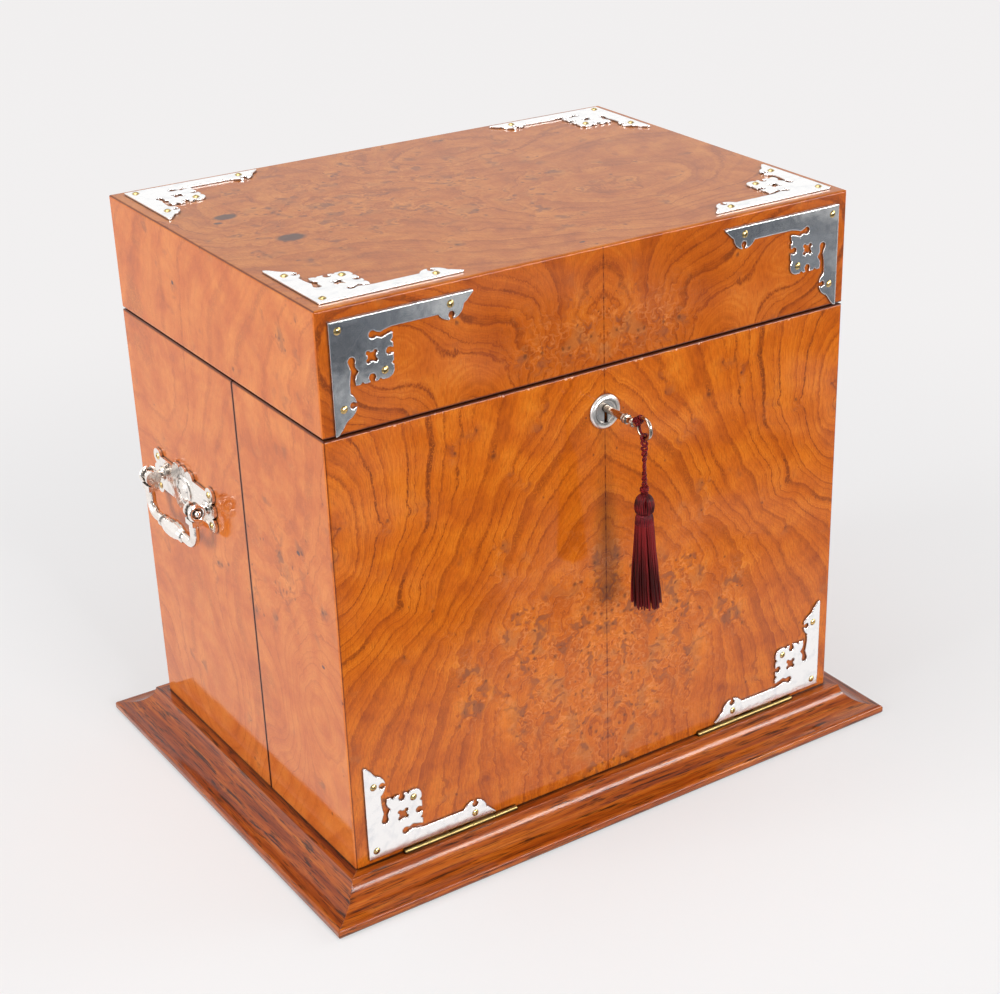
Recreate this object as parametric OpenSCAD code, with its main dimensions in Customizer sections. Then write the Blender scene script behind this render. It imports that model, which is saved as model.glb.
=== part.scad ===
// Tantalus: a locked spirit case with a lift-up lid, a falling front, pierced corner
// mounts, bail handles at the sides, three square decanters and a row of tumblers.
// Millimetres. +Z is up, -Y is the front. Origin: centre of the underside of the plinth.

/* [Case] */
// Width of the case across the front
case_w = 311; // [285:1:345]
// Depth of the case, front to back
case_d = 223; // [205:1:250]
// Height of the case from the plinth to the lid seam
case_h = 234; // [225:1:270]
// Thickness of the case and lid boards
board_t = 9; // [8:0.5:11]
// Depth of the falling front section, measured on the sides
fall_depth = 93; // [75:1:105]
// Gap between moving and fixed boards at the side seams
seam_gap = 0.9; // [0.6:0.1:1.5]
// Radius of the outer arrises
arris_r = 1.4; // [0.5:0.1:2.5]

/* [Lid] */
// Height of the lid
lid_h = 61.2; // [61:0.2:80]
// Gap between the lid and the case
lid_gap = 0.6; // [0.4:0.1:1]

/* [Plinth] */
// Height of the plinth
plinth_h = 17.4; // [14:0.2:24]
// How far the plinth stands out from the case
plinth_out = 24.5; // [20:0.5:32]
// Flat ledge round the foot of the case
plinth_ledge = 5.4; // [4.5:0.1:8]
// Height of the rounded outer edge of the plinth
plinth_edge = 5.4; // [4:0.1:7]
// Radius of the hollow of the plinth moulding
cavetto_r = 15; // [13:0.5:20]

/* [Corner mounts] */
// Length of the long arm of a mount
mount_long = 75; // [66:0.5:85]
// Length of the short arm of a mount
mount_short = 54.4; // [52:0.2:54.6]
// Thickness of the plate
mount_t = 1.2; // [0.8:0.1:2]
// Width of the long arm
mount_long_w = 8; // [6.5:0.1:9]
// Width of the short arm
mount_short_w = 8.7; // [7:0.1:9.2]
// Margin of the lid mounts from the edges of the lid
mount_inset = 6.3; // [5.5:0.1:6.6]
// Margin of the front mounts from the sides of the case
front_mount_inset = 7.2; // [5:0.1:10]
// Margin of the front mounts from the foot of the case
front_mount_rise = 3; // [2.8:0.1:8]
// Radius of a mount screw's round head
screw_head_r = 1.95; // [1.5:0.05:2.3]
// Height of a mount screw's round head
screw_head_h = 0.9; // [0.6:0.1:1.2]
// Radius of a mount screw's shank
screw_shank_r = 0.9; // [0.6:0.05:1.2]

/* [Lock and key] */
// Key axis below the top edge of the falling front
key_drop = 21.5; // [20:0.1:28]
// Keyhole axis above the centre of the escutcheon
key_rise = 2; // [1:0.1:2.5]
// Radius of the round escutcheon
escutcheon_r = 9; // [8.8:0.1:12]
// Radius of the key's stem
stem_r = 1.9; // [1.7:0.1:2.4]
// Distance of the bow's centre from the face of the front
bow_out = 33; // [30:0.5:45]
// Radius of the bow, to the middle of its wire
bow_r = 5.1; // [4.8:0.1:7]
// Radius of the bow's wire
bow_wire_r = 1; // [0.9:0.05:1.4]
// Reach of the key's bit from the key axis
bit_reach = 7.4; // [6.5:0.1:7.6]
// Travel of the lock bolt
bolt_travel = 4.5; // [4:0.1:4.6]

/* [Tassel] */
// Drop of the cord from the bow to the tassel's head
cord_drop = 27.5; // [24:0.5:32]
// Diameter of the silk cord
cord_d = 1.5; // [1.2:0.1:1.6]
// Radius of the tassel's head
tassel_r = 5.1; // [4.5:0.1:7]
// Length of the fringe
fringe_len = 51; // [35:1:70]

/* [Bail handles] */
// Length of the back plate
plate_len = 73; // [68:0.5:85]
// Height of the back plate at its ears
plate_high = 25.5; // [24:0.1:30]
// Thickness of the back plate
plate_t = 1.8; // [1.4:0.1:2.2]
// Height of the bail pivots above the foot of the case
bail_up = 150.4; // [120:0.1:180]
// Distance of the bail pivots from the side of the case
bail_out = 8.7; // [8.5:0.1:11]
// Distance of the handle's centre from the back of the case
handle_back = 60.5; // [48:0.5:75]
// Half the distance between the two bail pivots
bail_half = 27; // [26:0.1:28.5]
// Drop from the pivots to the bar of the bail
bail_drop = 20.2; // [19:0.1:28]

/* [Hinges] */
// Length of a hinge
hinge_len = 68; // [50:0.5:80]
// Distance of the front hinges' centres from the middle
hinge_at = 94.5; // [80:0.5:98]
// Radius of a front hinge knuckle
fall_knuckle_r = 1.2; // [1.2:0.05:1.8]
// Radius of a lid hinge knuckle
lid_knuckle_r = 2.1; // [1.9:0.05:2.5]
// Radial running clearance of a hinge pin
pin_fit = 0.05; // [0.02:0.01:0.09]

/* [Decanters] */
// Clearance round a square decanter in its cell of the rack
decanter_gap = 3.8; // [2:0.1:8]
// Height of a decanter to its lip
decanter_h = 205; // [190:1:208]
// Wall of a decanter
decanter_wall = 5; // [4:0.5:7]
// Height of the decanter rack
rack_h = 96; // [60:1:120]
// Thickness of the rack boards
rack_t = 6; // [5:0.5:7]

/* [Tumblers] */
// Clearance round a tumbler's rim in its cell of the gallery
tumbler_gap = 1.25; // [0.8:0.05:5]
// Height of a tumbler
tumbler_h = 92; // [75:1:110]
// Height of the tumbler gallery
gallery_h = 38; // [25:1:60]

/* [Hidden] */

eps = 0.01;
x_side = case_w / 2;
y_front = -case_d / 2;
y_back = case_d / 2;
y_split = y_front + fall_depth;
z_case = plinth_h;
z_seam = z_case + case_h;
z_lid = z_seam + lid_gap;
z_top = z_lid + lid_h;
inner_x = x_side - board_t;
inner_back = y_back - board_t;
foot_gap = 0.4;

// Mount plate details, from the outer corner of the plate
panel_u = [12, 31.8];
panel_v = [10.4, 32.2];
mount_screw_at = [[4.3, 4.5], [mount_long - 12.3, 4.1], [27, 28], [4.9, mount_short - 12.3]];
shank_fit = 0.08;
screw_grip = 6;

// Lock
key_z = z_seam - key_drop;
lock_w = 58;
lock_skin = 2.4;
lock_plate_t = 1.4;
lock_cap_t = 1;
selvedge_t = 1.6;
lock_fit = 0.05;
cavity_y0 = y_front + lock_skin + lock_cap_t;
cavity_y1 = y_front + board_t - lock_plate_t;
staple_x = 18;
staple_t = 2;
staple_drop = 9.5;
staple_w = 3.6;
prong_z0 = z_seam - 7.7;
prong_h = 3;
bolt_z0 = prong_z0 - 5.8;
bolt_y0 = cavity_y0 + 0.95;
bolt_t = 1.8;
bolt_h = 3.4;
bit_t = 1.6;
// The bit turns in a U-shaped talon that hangs from the bolt. Its near jaw stands where
// the bit's tip only just reaches it at every angle of a quarter turn.
talon_x = max([for (a = [0:5:90]) bit_reach * sin(a) + bit_t / 2 * cos(a) - bolt_travel * a / 90]) + 0.3;
talon_w = 3.4;
talon_drop = bit_reach + 0.4;
talon_rim = 1.8;

// Handles
bail_z = z_case + bail_up;
handle_y = y_back - handle_back;
bail_pin_r = 1.1;
knuckle_w = 4.4;
knuckle_r = 3.2;
cheek_w = 1.9;
cheek_gap = 0.15;
cheek_r = 5;
handle_screw_x = 31;
handle_screw_z = 8.6;

// Colours
burr = "#c56a24";
oak = "#8f4a22";
silver = "#d9dadd";
brass = "#c79a3d";
silk = "#6e1423";
glass = "#cfe3e6";
rack_wood = "#7a4b2a";

// Plan outlines and shared shapes

module rounded_rect(w, h, r) {
    square([w - 2 * r, h], center = true);
    square([w, h - 2 * r], center = true);
    for (sx = [-1, 1], sy = [-1, 1])
        translate([sx * (w / 2 - r), sy * (h / 2 - r)]) circle(r, $fn = 32);
}

// Block with all its outer arrises rounded, from z0 to z1
module softened_block(z0, z1) translate([0, 0, (z0 + z1) / 2]) intersection() {
    linear_extrude(z1 - z0, center = true) rounded_rect(case_w, case_d, arris_r);
    rotate([90, 0, 0]) linear_extrude(case_d, center = true) rounded_rect(case_w, z1 - z0, arris_r);
    rotate([90, 0, 90]) linear_extrude(case_w, center = true) rounded_rect(case_d, z1 - z0, arris_r);
}

// Upright board of the case with the outline given, its outer arrises rounded
module plan(points, z0, z1) intersection() {
    translate([0, 0, z0]) linear_extrude(z1 - z0) polygon(points);
    softened_block(z0 - 2 * arris_r, z1);
}

module rod_x(r, len) rotate([0, 90, 0]) cylinder(r = r, h = len, center = true, $fn = 32);

module rod_y(r, len) rotate([90, 0, 0]) cylinder(r = r, h = len, center = true, $fn = 32);

module both_sides() {
    children();
    mirror([1, 0, 0]) children();
}

// Plinth: a solid base board with a mitred cavetto moulding round it

module base_board() color(oak) difference() {
    linear_extrude(plinth_h) square([case_w, case_d], center = true);
    front_hinges() pocket(base_leaf_depth, fall_bed - leaf_t, fall_bed + eps);
}

module plinth_profile() {
    nose = plinth_edge / 3;
    difference() {
        union() {
            square([plinth_out - nose, plinth_h]);
            translate([0, nose]) square([plinth_out, plinth_edge - 2 * nose]);
            for (v = [nose, plinth_edge - nose])
                translate([plinth_out - nose, v]) circle(nose, $fn = 32);
        }
        translate([plinth_ledge + cavetto_r, plinth_edge + cavetto_r]) circle(cavetto_r, $fn = 96);
        translate([plinth_ledge + cavetto_r, plinth_edge]) square([plinth_out, plinth_h]);
        translate([plinth_ledge + cavetto_r / 2, plinth_edge + cavetto_r]) square([plinth_out, plinth_h]);
    }
}

// One length of moulding along -Y, its ends cut to the mitres
module plinth_run(half_len, half_depth) {
    reach = plinth_out + 1;
    intersection() {
        translate([0, -half_depth, 0]) rotate([90, 0, -90])
            linear_extrude(2 * (half_len + reach), center = true)
                plinth_profile();
        linear_extrude(3 * plinth_h, center = true)
            polygon([[-half_len, -half_depth], [half_len, -half_depth],
                [half_len + reach, -half_depth - reach], [-half_len - reach, -half_depth - reach]]);
    }
}

module plinth_front() color(oak) difference() {
    plinth_run(x_side, case_d / 2);
    front_hinges() {
        pocket(base_leaf_depth, fall_bed - leaf_t, fall_bed + eps);
        rod_x(fall_knuckle_r + 0.3, hinge_len + 0.6);
    }
}

module plinth_back() color(oak) rotate(180) plinth_run(x_side, case_d / 2);

module plinth_left() color(oak) rotate(-90) plinth_run(case_d / 2, x_side);

module plinth_right() color(oak) rotate(90) plinth_run(case_d / 2, x_side);

// Fixed part of the case

module case_back() color(burr) difference() {
    plan([[-x_side, y_back], [-inner_x, inner_back], [inner_x, inner_back], [x_side, y_back]],
        z_case, z_seam);
    lid_hinges() pocket(lid_leaf_depth, lid_bed - leaf_t, lid_bed + eps);
}

module case_side_right() color(burr) difference() {
    plan([[x_side, y_split + seam_gap / 2], [x_side, y_back], [inner_x, inner_back],
        [inner_x, y_split + seam_gap / 2]], z_case, z_seam);
    handle_frame() for (p = handle_screw_at())
        translate([0, p[0], p[1]]) rod_x(screw_shank_r + shank_fit, 2 * screw_grip);
}

module case_side_left() mirror([1, 0, 0]) case_side_right();

// Strips inside the fixed sides that close the seams behind the swinging cheeks
stop_t = 4.6;
stop_reach = 7;
stop_gap = 0.4;
stop_short = 4;

module seam_stops() color(oak) both_sides()
    translate([inner_x - stop_t - stop_gap, y_split - stop_reach, z_case])
        cube([stop_t, stop_reach, case_h - stop_short]);

// Decanter rack of three square cells, and tumbler gallery

cell_w = (2 * inner_x - 2 * rack_t) / 3;
decanter_w = cell_w - 2 * decanter_gap;
rail_y = inner_back - cell_w;

module decanter_rail() color(rack_wood)
    translate([-inner_x, rail_y - rack_t, z_case]) cube([2 * inner_x, rack_t, rack_h]);

module decanter_dividers() color(rack_wood) for (s = [-1, 1])
    translate([s * (cell_w + rack_t) / 2 - rack_t / 2, rail_y, z_case])
        cube([rack_t, inner_back - rail_y, rack_h]);

tumbler_count = 4;
gallery_y = y_front + board_t + 5;
gallery_half = inner_x - stop_t - stop_gap - 1.5;
pocket_w = (2 * gallery_half - rack_t * (tumbler_count + 1)) / tumbler_count;
pocket_d = rail_y - gallery_y - 2 * rack_t;
tumbler_r = pocket_w / 2 - tumbler_gap;

module tumbler_gallery() color(rack_wood) translate([-gallery_half, gallery_y, z_case]) {
    cube([2 * gallery_half, rack_t, gallery_h]);
    for (i = [0:tumbler_count])
        translate([i * (pocket_w + rack_t), rack_t, 0]) cube([rack_t, pocket_d, gallery_h]);
}

// Decanters: square bodies with hollow shoulders, a ringed neck and a mushroom stopper

decanter_body_h = decanter_h * 0.68;
neck_r = 14;
bore_r = 9.5;
decanter_foot = 9;
shoulder_r = 16;
decanter_y = (rail_y + inner_back) / 2;

module chamfered_square(w, c) {
    h = w / 2;
    polygon([[c - h, -h], [h - c, -h], [h, c - h], [h, h - c], [h - c, h], [c - h, h], [-h, h - c], [-h, c - h]]);
}

module decanter() color(glass) translate([0, decanter_y, z_case]) difference() {
    union() {
        linear_extrude(decanter_body_h) chamfered_square(decanter_w, 6);
        intersection() {
            translate([0, 0, decanter_body_h])
                linear_extrude(shoulder_r + eps) chamfered_square(decanter_w, 6);
            rotate_extrude($fn = 64) difference() {
                square([decanter_w * 0.62, decanter_body_h + shoulder_r]);
                translate([decanter_w * 0.62, decanter_body_h + shoulder_r]) circle(shoulder_r, $fn = 48);
            }
        }
        rotate_extrude($fn = 64) difference() {
            square([neck_r + shoulder_r, decanter_h - 6]);
            translate([neck_r + shoulder_r, decanter_body_h + 2 * shoulder_r]) circle(shoulder_r, $fn = 48);
            translate([neck_r, decanter_body_h + 2 * shoulder_r]) square([shoulder_r + 1, decanter_h]);
        }
        translate([0, 0, decanter_h - 16]) rotate_extrude($fn = 64) {
            square([neck_r + 1, 3]);
            translate([neck_r + 1, 1.5]) circle(1.5, $fn = 24);
        }
        translate([0, 0, decanter_h - 7]) cylinder(r1 = neck_r, r2 = neck_r + 5, h = 7, $fn = 64);
    }
    translate([0, 0, decanter_foot]) linear_extrude(decanter_body_h - decanter_foot - 2)
        chamfered_square(decanter_w - 2 * decanter_wall, 4);
    translate([0, 0, decanter_body_h - 3])
        cylinder(r1 = decanter_w / 2 - decanter_wall - 6, r2 = bore_r, h = shoulder_r + 4, $fn = 64);
    translate([0, 0, decanter_body_h]) cylinder(r = bore_r, h = decanter_h, $fn = 64);
}

module decanter_left() translate([-cell_w - rack_t, 0, 0]) decanter();

module decanter_centre() decanter();

module decanter_right() translate([cell_w + rack_t, 0, 0]) decanter();

// Stopper: a ground plug, a collar and an eight-sided mushroom of three bands
plug_len = 22;
plug_fit = 0.05;
collar_r = 11;
collar_h = 3;
mushroom_r = [8, 19, 12, 4];
mushroom_h = [10, 10, 4];

module stopper() color(glass) translate([0, decanter_y, z_case + decanter_h]) {
    translate([0, 0, -plug_len]) cylinder(r = bore_r - plug_fit, h = plug_len + 0.1, $fn = 64);
    translate([0, 0, 0.1]) {
        cylinder(r1 = bore_r, r2 = collar_r, h = collar_h, $fn = 64);
        for (i = [0:2])
            translate([0, 0, collar_h + (i > 0 ? mushroom_h[0] : 0) + (i > 1 ? mushroom_h[1] : 0)])
                cylinder(r1 = mushroom_r[i], r2 = mushroom_r[i + 1], h = mushroom_h[i], $fn = 8);
    }
}

module stopper_left() translate([-cell_w - rack_t, 0, 0]) stopper();

module stopper_centre() stopper();

module stopper_right() translate([cell_w + rack_t, 0, 0]) stopper();

tumbler_y = gallery_y + rack_t + pocket_d / 2;
tumbler_foot = 12;
tumbler_wall = 2.4;
tumbler_taper = 3.5;

module tumbler(i) color(glass)
    translate([-gallery_half + rack_t + pocket_w / 2 + i * (pocket_w + rack_t), tumbler_y, z_case])
        rotate_extrude($fn = 64) polygon([[0, 0], [tumbler_r - tumbler_taper - 1, 0],
            [tumbler_r - tumbler_taper, 1], [tumbler_r, tumbler_h], [tumbler_r - tumbler_wall, tumbler_h],
            [tumbler_r - tumbler_taper - tumbler_wall - 0.6, tumbler_foot], [0, tumbler_foot]]);

module tumbler_1() tumbler(0);

module tumbler_2() tumbler(1);

module tumbler_3() tumbler(2);

module tumbler_4() tumbler(3);

// Lid: five boards mitred on every arris

module lid_body() softened_block(z_lid, z_top);

// Wedge of the lid under the mitre of its top board, for a rail along the side at -Y
module rail_wedge(half_len, half_depth) {
    intersection() {
        rotate([90, 0, 90]) linear_extrude(2 * half_len, center = true)
            polygon([[-half_depth, z_lid - 1], [board_t - half_depth, z_lid - 1],
                [board_t - half_depth, z_top - board_t], [-half_depth, z_top]]);
        linear_extrude(2 * z_top)
            polygon([[-half_len, -half_depth], [half_len, -half_depth],
                [half_len - board_t, board_t - half_depth], [board_t - half_len, board_t - half_depth]]);
    }
}

module lid_top() color(burr) difference() {
    intersection() {
        lid_body();
        rotate([90, 0, 0]) linear_extrude(case_d, center = true)
            polygon([[-x_side, z_top], [-inner_x, z_top - board_t], [inner_x, z_top - board_t], [x_side, z_top]]);
        rotate([90, 0, 90]) linear_extrude(case_w, center = true)
            polygon([[y_front, z_top], [y_front + board_t, z_top - board_t],
                [inner_back, z_top - board_t], [y_back, z_top]]);
    }
    lid_top_frames() mount_holes();
}

module lid_front() color(burr) difference() {
    intersection() {
        lid_body();
        rail_wedge(x_side, case_d / 2);
    }
    lid_front_frames() mount_holes();
    translate([0, link_y, z_lid]) cube([link_w + 0.1, link_d + 0.1, 2 * selvedge_t], center = true);
}

module lid_back() color(burr) difference() {
    intersection() {
        lid_body();
        rotate(180) rail_wedge(x_side, case_d / 2);
    }
    lid_hinges() pocket(lid_leaf_depth, -eps, leaf_t - lid_bed);
}

module lid_right() color(burr) intersection() {
    lid_body();
    rotate(90) rail_wedge(case_d / 2, x_side);
}

module lid_left() mirror([1, 0, 0]) lid_right();

// Pierced corner mounts

module mouth(at, width, angle) translate(at) rotate(angle) translate([0, -width / 2]) square([4, width]);

module mount_outline() {
    tip = mount_long;
    top = mount_short;
    long_eye = [tip - 11.9, 9.4];
    short_eye = [9.7, top - 13.2];
    difference() {
        union() {
            square([tip - 13, mount_long_w]);
            square([mount_short_w, top - 14]);
            polygon([[0, 0], [panel_u[1], 0], [panel_u[1], panel_v[1] - 4], [panel_u[1] - 4, panel_v[1]],
                [0, panel_v[1]]]);
            translate([panel_u[1] - 4, panel_v[1] - 4]) circle(4, $fn = 32);
            intersection() {
                translate([tip - 12.4, 4.6]) circle(7.2, $fn = 48);
                translate([tip - 20, 0]) square([20, 20]);
            }
            intersection() {
                translate([4.7, top - 13.3]) circle(6.9, $fn = 48);
                translate([0, top - 20.5]) square([20, 20]);
            }
            polygon([[tip - 12, 0], [tip, 0], [tip, 0.7], [tip - 2.2, 2.8], [tip - 3.8, 4.4],
                [tip - 5.4, 5.4], [tip - 12, 5.4]]);
            polygon([[0, top - 14], [6, top - 14], [6.9, top - 6.8], [5.2, top - 5], [3.8, top - 2.8],
                [1.6, top - 0.3], [0.3, top], [0, top - 0.3]]);
        }
        // Wavy slot between the long arm and the panel
        translate([21.6, 9.9]) circle(2, $fn = 32);
        polygon([[22, mount_long_w + 0.2], [25.5, mount_long_w + 1.6], [28.5, mount_long_w + 0.6],
            [panel_u[1], mount_long_w], [panel_u[1] + 1, mount_long_w], [panel_u[1] + 1, panel_v[0]],
            [panel_u[1] - 0.4, panel_v[0] + 0.3], [28.5, 11.4], [26, 12.4], [24, 11.3], [22, 11.8]]);
        // Wavy slot between the short arm and the panel
        translate([10.3, 20.3]) circle(2, $fn = 32);
        polygon([[mount_short_w - 0.2, 21], [mount_short_w + 1, 24.7], [mount_short_w + 0.4, 27.7],
            [mount_short_w, 31], [mount_short_w, panel_v[1] + 1], [panel_u[0], panel_v[1] + 1],
            [panel_u[0], panel_v[1]], [panel_u[0] - 0.4, 29.6], [12.2, 27.6], [13.7, 25.7], [12, 23.3],
            [12.1, 21]]);
        // Square eye with a round lobe at each corner
        translate([20.7, 20.1]) {
            square(4.4, center = true);
            for (sx = [-1, 1], sy = [-1, 1]) translate([sx * 1.9, sy * 1.9]) circle(1.15, $fn = 24);
        }
        // Round notches and cusps in the outer edges of the panel
        translate([panel_u[1] - 1.9, 19.3]) circle(1.9, $fn = 32);
        mouth([panel_u[1] - 1.9, 19.3], 2.6, 0);
        translate([20.4, panel_v[1] - 2.1]) circle(1.9, $fn = 32);
        mouth([20.4, panel_v[1] - 2.1], 2.6, 90);
        for (v = [14.6, 25.2]) translate([panel_u[1] + 0.8, v]) rotate(45) square(2.8, center = true);
        for (u = [15.3, 24.4]) translate([u, panel_v[1] + 0.8]) rotate(45) square(2.8, center = true);
        // Round eyes open to the edge near the tips
        translate(long_eye) circle(1.8, $fn = 32);
        mouth(long_eye, 2, 90);
        translate(short_eye) circle(1.7, $fn = 32);
        mouth(short_eye, 2, 0);
        for (p = mount_screw_at) translate(p) circle(screw_shank_r + shank_fit, $fn = 24);
    }
}

module mount_holes() for (p = mount_screw_at)
    translate([p[0], p[1], -screw_grip - 0.5])
        cylinder(r = screw_shank_r + shank_fit, h = screw_grip + 1, $fn = 24);

module mount_plate() linear_extrude(mount_t) mount_outline();

module round_screw() {
    dome = (screw_head_r * screw_head_r + screw_head_h * screw_head_h) / (2 * screw_head_h);
    difference() {
        union() {
            intersection() {
                translate([0, 0, screw_head_h - dome]) sphere(dome, $fn = 32);
                cylinder(r = screw_head_r, h = screw_head_h, $fn = 32);
            }
            translate([0, 0, -screw_grip]) cylinder(r = screw_shank_r, h = screw_grip + eps, $fn = 24);
        }
        translate([-screw_head_r, -0.25, screw_head_h - 0.45]) cube([2 * screw_head_r, 0.5, 1]);
    }
}

module mount_screws() for (i = [0:3])
    translate([mount_screw_at[i][0], mount_screw_at[i][1], mount_t]) rotate(35 + 50 * i) round_screw();

// Frames that put a corner plate's own origin on each corner of a face

module lid_top_frames() for (sx = [-1, 1], sy = [-1, 1])
    scale([sx, sy, 1]) translate([mount_inset - x_side, mount_inset + y_front, z_top]) children();

module lid_front_frames() both_sides()
    translate([mount_inset - x_side, y_front, z_top - mount_inset]) rotate([90, 0, 0])
        mirror([0, 1, 0]) children();

module case_front_frames() both_sides()
    translate([front_mount_inset - x_side, y_front, z_case + front_mount_rise]) rotate([90, 0, 0])
        children();

module lid_top_mounts() color(silver) lid_top_frames() mount_plate();

module lid_front_mounts() color(silver) lid_front_frames() mount_plate();

module case_front_mounts() color(silver) case_front_frames() mount_plate();

module lid_mount_screws() color(brass) {
    lid_top_frames() mount_screws();
    lid_front_frames() mount_screws();
}

module front_mount_screws() color(brass) case_front_frames() mount_screws();

// Butt hinges: the pin runs along X through interleaved knuckles

leaf_t = 1.2;
base_leaf_depth = 15;
front_leaf_depth = 9;
lid_leaf_depth = 9.5;
knuckles = 5;
knuckle_gap = 0.25;
fall_axis_y = y_front - fall_knuckle_r - 0.1;
fall_axis_z = z_case + fall_knuckle_r - 0.7;
lid_axis_y = y_back + lid_knuckle_r + 0.1;
lid_axis_z = z_seam + lid_gap / 2;
fall_bed = z_case - fall_axis_z;
lid_bed = -lid_gap / 2;

module front_hinges() for (s = [-1, 1]) translate([s * hinge_at, fall_axis_y, fall_axis_z]) children();

module lid_hinges() for (s = [-1, 1]) translate([s * hinge_at, lid_axis_y, lid_axis_z])
    mirror([0, 1, 0]) children();

// Recess for a leaf, from z0 to z1 about the pin's axis
module pocket(depth, z0, z1) translate([-hinge_len / 2 - lock_fit, 0, z0])
    cube([hinge_len + 2 * lock_fit, depth + lock_fit, z1 - z0]);

// One leaf. own is 0 for knuckles 1, 3, 5 and 1 for knuckles 2, 4
module leaf(r, pin_r, depth, z0, own) {
    step = hinge_len / knuckles;
    difference() {
        union() {
            translate([-hinge_len / 2, r + 0.3, z0]) cube([hinge_len, depth - r - 0.3, leaf_t]);
            for (i = [own:2:knuckles - 1])
                translate([-hinge_len / 2 + (i + 0.5) * step, 0, 0]) {
                    rod_x(r, step - knuckle_gap);
                    translate([(knuckle_gap - step) / 2, 0, z0])
                        cube([step - knuckle_gap, r + 0.4, leaf_t]);
                }
        }
        rod_x(pin_r + pin_fit, hinge_len + 1);
    }
}

fall_pin_r = fall_knuckle_r / 2;
lid_pin_r = lid_knuckle_r / 2;

module front_hinge_base_leaves() color(brass) front_hinges()
    leaf(fall_knuckle_r, fall_pin_r, base_leaf_depth, fall_bed - leaf_t, 0);

module front_hinge_front_leaves() color(brass) front_hinges()
    leaf(fall_knuckle_r, fall_pin_r, front_leaf_depth, fall_bed + foot_gap, 1);

module front_hinge_pins() color(brass) front_hinges() rod_x(fall_pin_r, hinge_len);

module lid_hinge_case_leaves() color(brass) lid_hinges()
    leaf(lid_knuckle_r, lid_pin_r, lid_leaf_depth, lid_bed - leaf_t, 0);

module lid_hinge_lid_leaves() color(brass) lid_hinges()
    leaf(lid_knuckle_r, lid_pin_r, lid_leaf_depth, -lid_bed, 1);

module lid_hinge_pins() color(brass) lid_hinges() rod_x(lid_pin_r, hinge_len);

// Falling front: a panel with the front part of both sides mitred to it

module front_panel() color(burr) difference() {
    plan([[-x_side, y_front], [x_side, y_front], [inner_x, y_front + board_t], [-inner_x, y_front + board_t]],
        z_case + foot_gap, z_seam);
    case_front_frames() mount_holes();
    front_hinges() pocket(front_leaf_depth, fall_bed + foot_gap - eps, fall_bed + foot_gap + leaf_t);
    translate([-lock_w / 2 - lock_fit, y_front + lock_skin, key_z - 11.5 - lock_fit])
        cube([lock_w + 2 * lock_fit, board_t, key_drop + 12]);
    translate([0, y_front, key_z]) {
        rod_y(stem_r + 0.4, 3 * board_t);
        translate([-1.3, -board_t, -bit_reach - 0.8]) cube([2.6, 2 * board_t, bit_reach]);
    }
}

module front_cheek_right() color(burr)
    plan([[x_side, y_front], [x_side, y_split - seam_gap / 2], [inner_x, y_split - seam_gap / 2],
        [inner_x, y_front + board_t]], z_case + foot_gap, z_seam);

module front_cheek_left() mirror([1, 0, 0]) front_cheek_right();

// Lock: a hollow mortised case with its selvedge in the top edge of the panel

module keyhole(r, slot_w, reach, len) {
    rod_y(r, len);
    translate([-slot_w / 2, -len / 2, -reach]) cube([slot_w, len, reach]);
}

module lock_case() color(brass) difference() {
    translate([-lock_w / 2, y_front + lock_skin, key_z - 11.5])
        cube([lock_w, board_t - lock_skin, key_drop + 11.5]);
    // Room for the bolt, and below it for the turning bit
    translate([-lock_w / 2 + 1.2, cavity_y0, bolt_z0 - 0.1])
        cube([lock_w - 2.4, cavity_y1 - cavity_y0, z_seam - selvedge_t - bolt_z0 + 0.1]);
    translate([-talon_x - talon_w - bolt_travel - 0.4, cavity_y0, key_z - talon_drop - talon_rim - 0.3])
        cube([talon_x + talon_w + bolt_travel + bit_reach + 1, cavity_y1 - cavity_y0,
            bolt_z0 - key_z + talon_drop + talon_rim + 0.3]);
    translate([0, y_front + lock_skin, key_z]) keyhole(stem_r + 0.08, 2.2, bit_reach + 0.5, 3);
    for (s = [-1, 1]) translate([s * staple_x, (cavity_y0 + cavity_y1) / 2, z_seam])
        cube([staple_t + 1, staple_w + 0.6, 4 * selvedge_t], center = true);
}

// Bolt: a bar with two prongs that slide into the eyes of the lid's staples, and a talon
module lock_bolt() color(brass) translate([0, bolt_y0 + bolt_t, 0]) rotate([90, 0, 0]) linear_extrude(bolt_t) {
    prong_gap = staple_t / 2 + 1.5;
    post = [prong_gap + 3.5, 3];
    translate([post[0] - staple_x, bolt_z0]) square([2 * staple_x + post[1], bolt_h]);
    for (s = [-1, 1]) translate([s * staple_x, 0]) {
        translate([post[0], bolt_z0]) square([post[1], prong_z0 - bolt_z0 + prong_h]);
        translate([prong_gap, prong_z0]) square([post[0] - prong_gap + eps, prong_h]);
    }
    jaw_x = bit_t / 2 + 0.4;
    translate([0, key_z - talon_drop - talon_rim]) {
        translate([-talon_x - talon_w, 0]) square([talon_w, bolt_z0 - key_z + talon_drop + talon_rim + eps]);
        translate([-talon_x - talon_w, 0]) square([talon_x + talon_w + jaw_x + 2, talon_rim]);
        translate([jaw_x, 0]) square([2, talon_drop + talon_rim - stem_r - 0.4]);
    }
}

link_w = 50;
link_d = 6.6;
link_y = y_front + board_t / 2 + 0.9;

// Link plate let into the lid's front rail
module link_plate() color(brass)
    translate([-link_w / 2, link_y - link_d / 2, z_lid]) cube([link_w, link_d, selvedge_t]);

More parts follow.
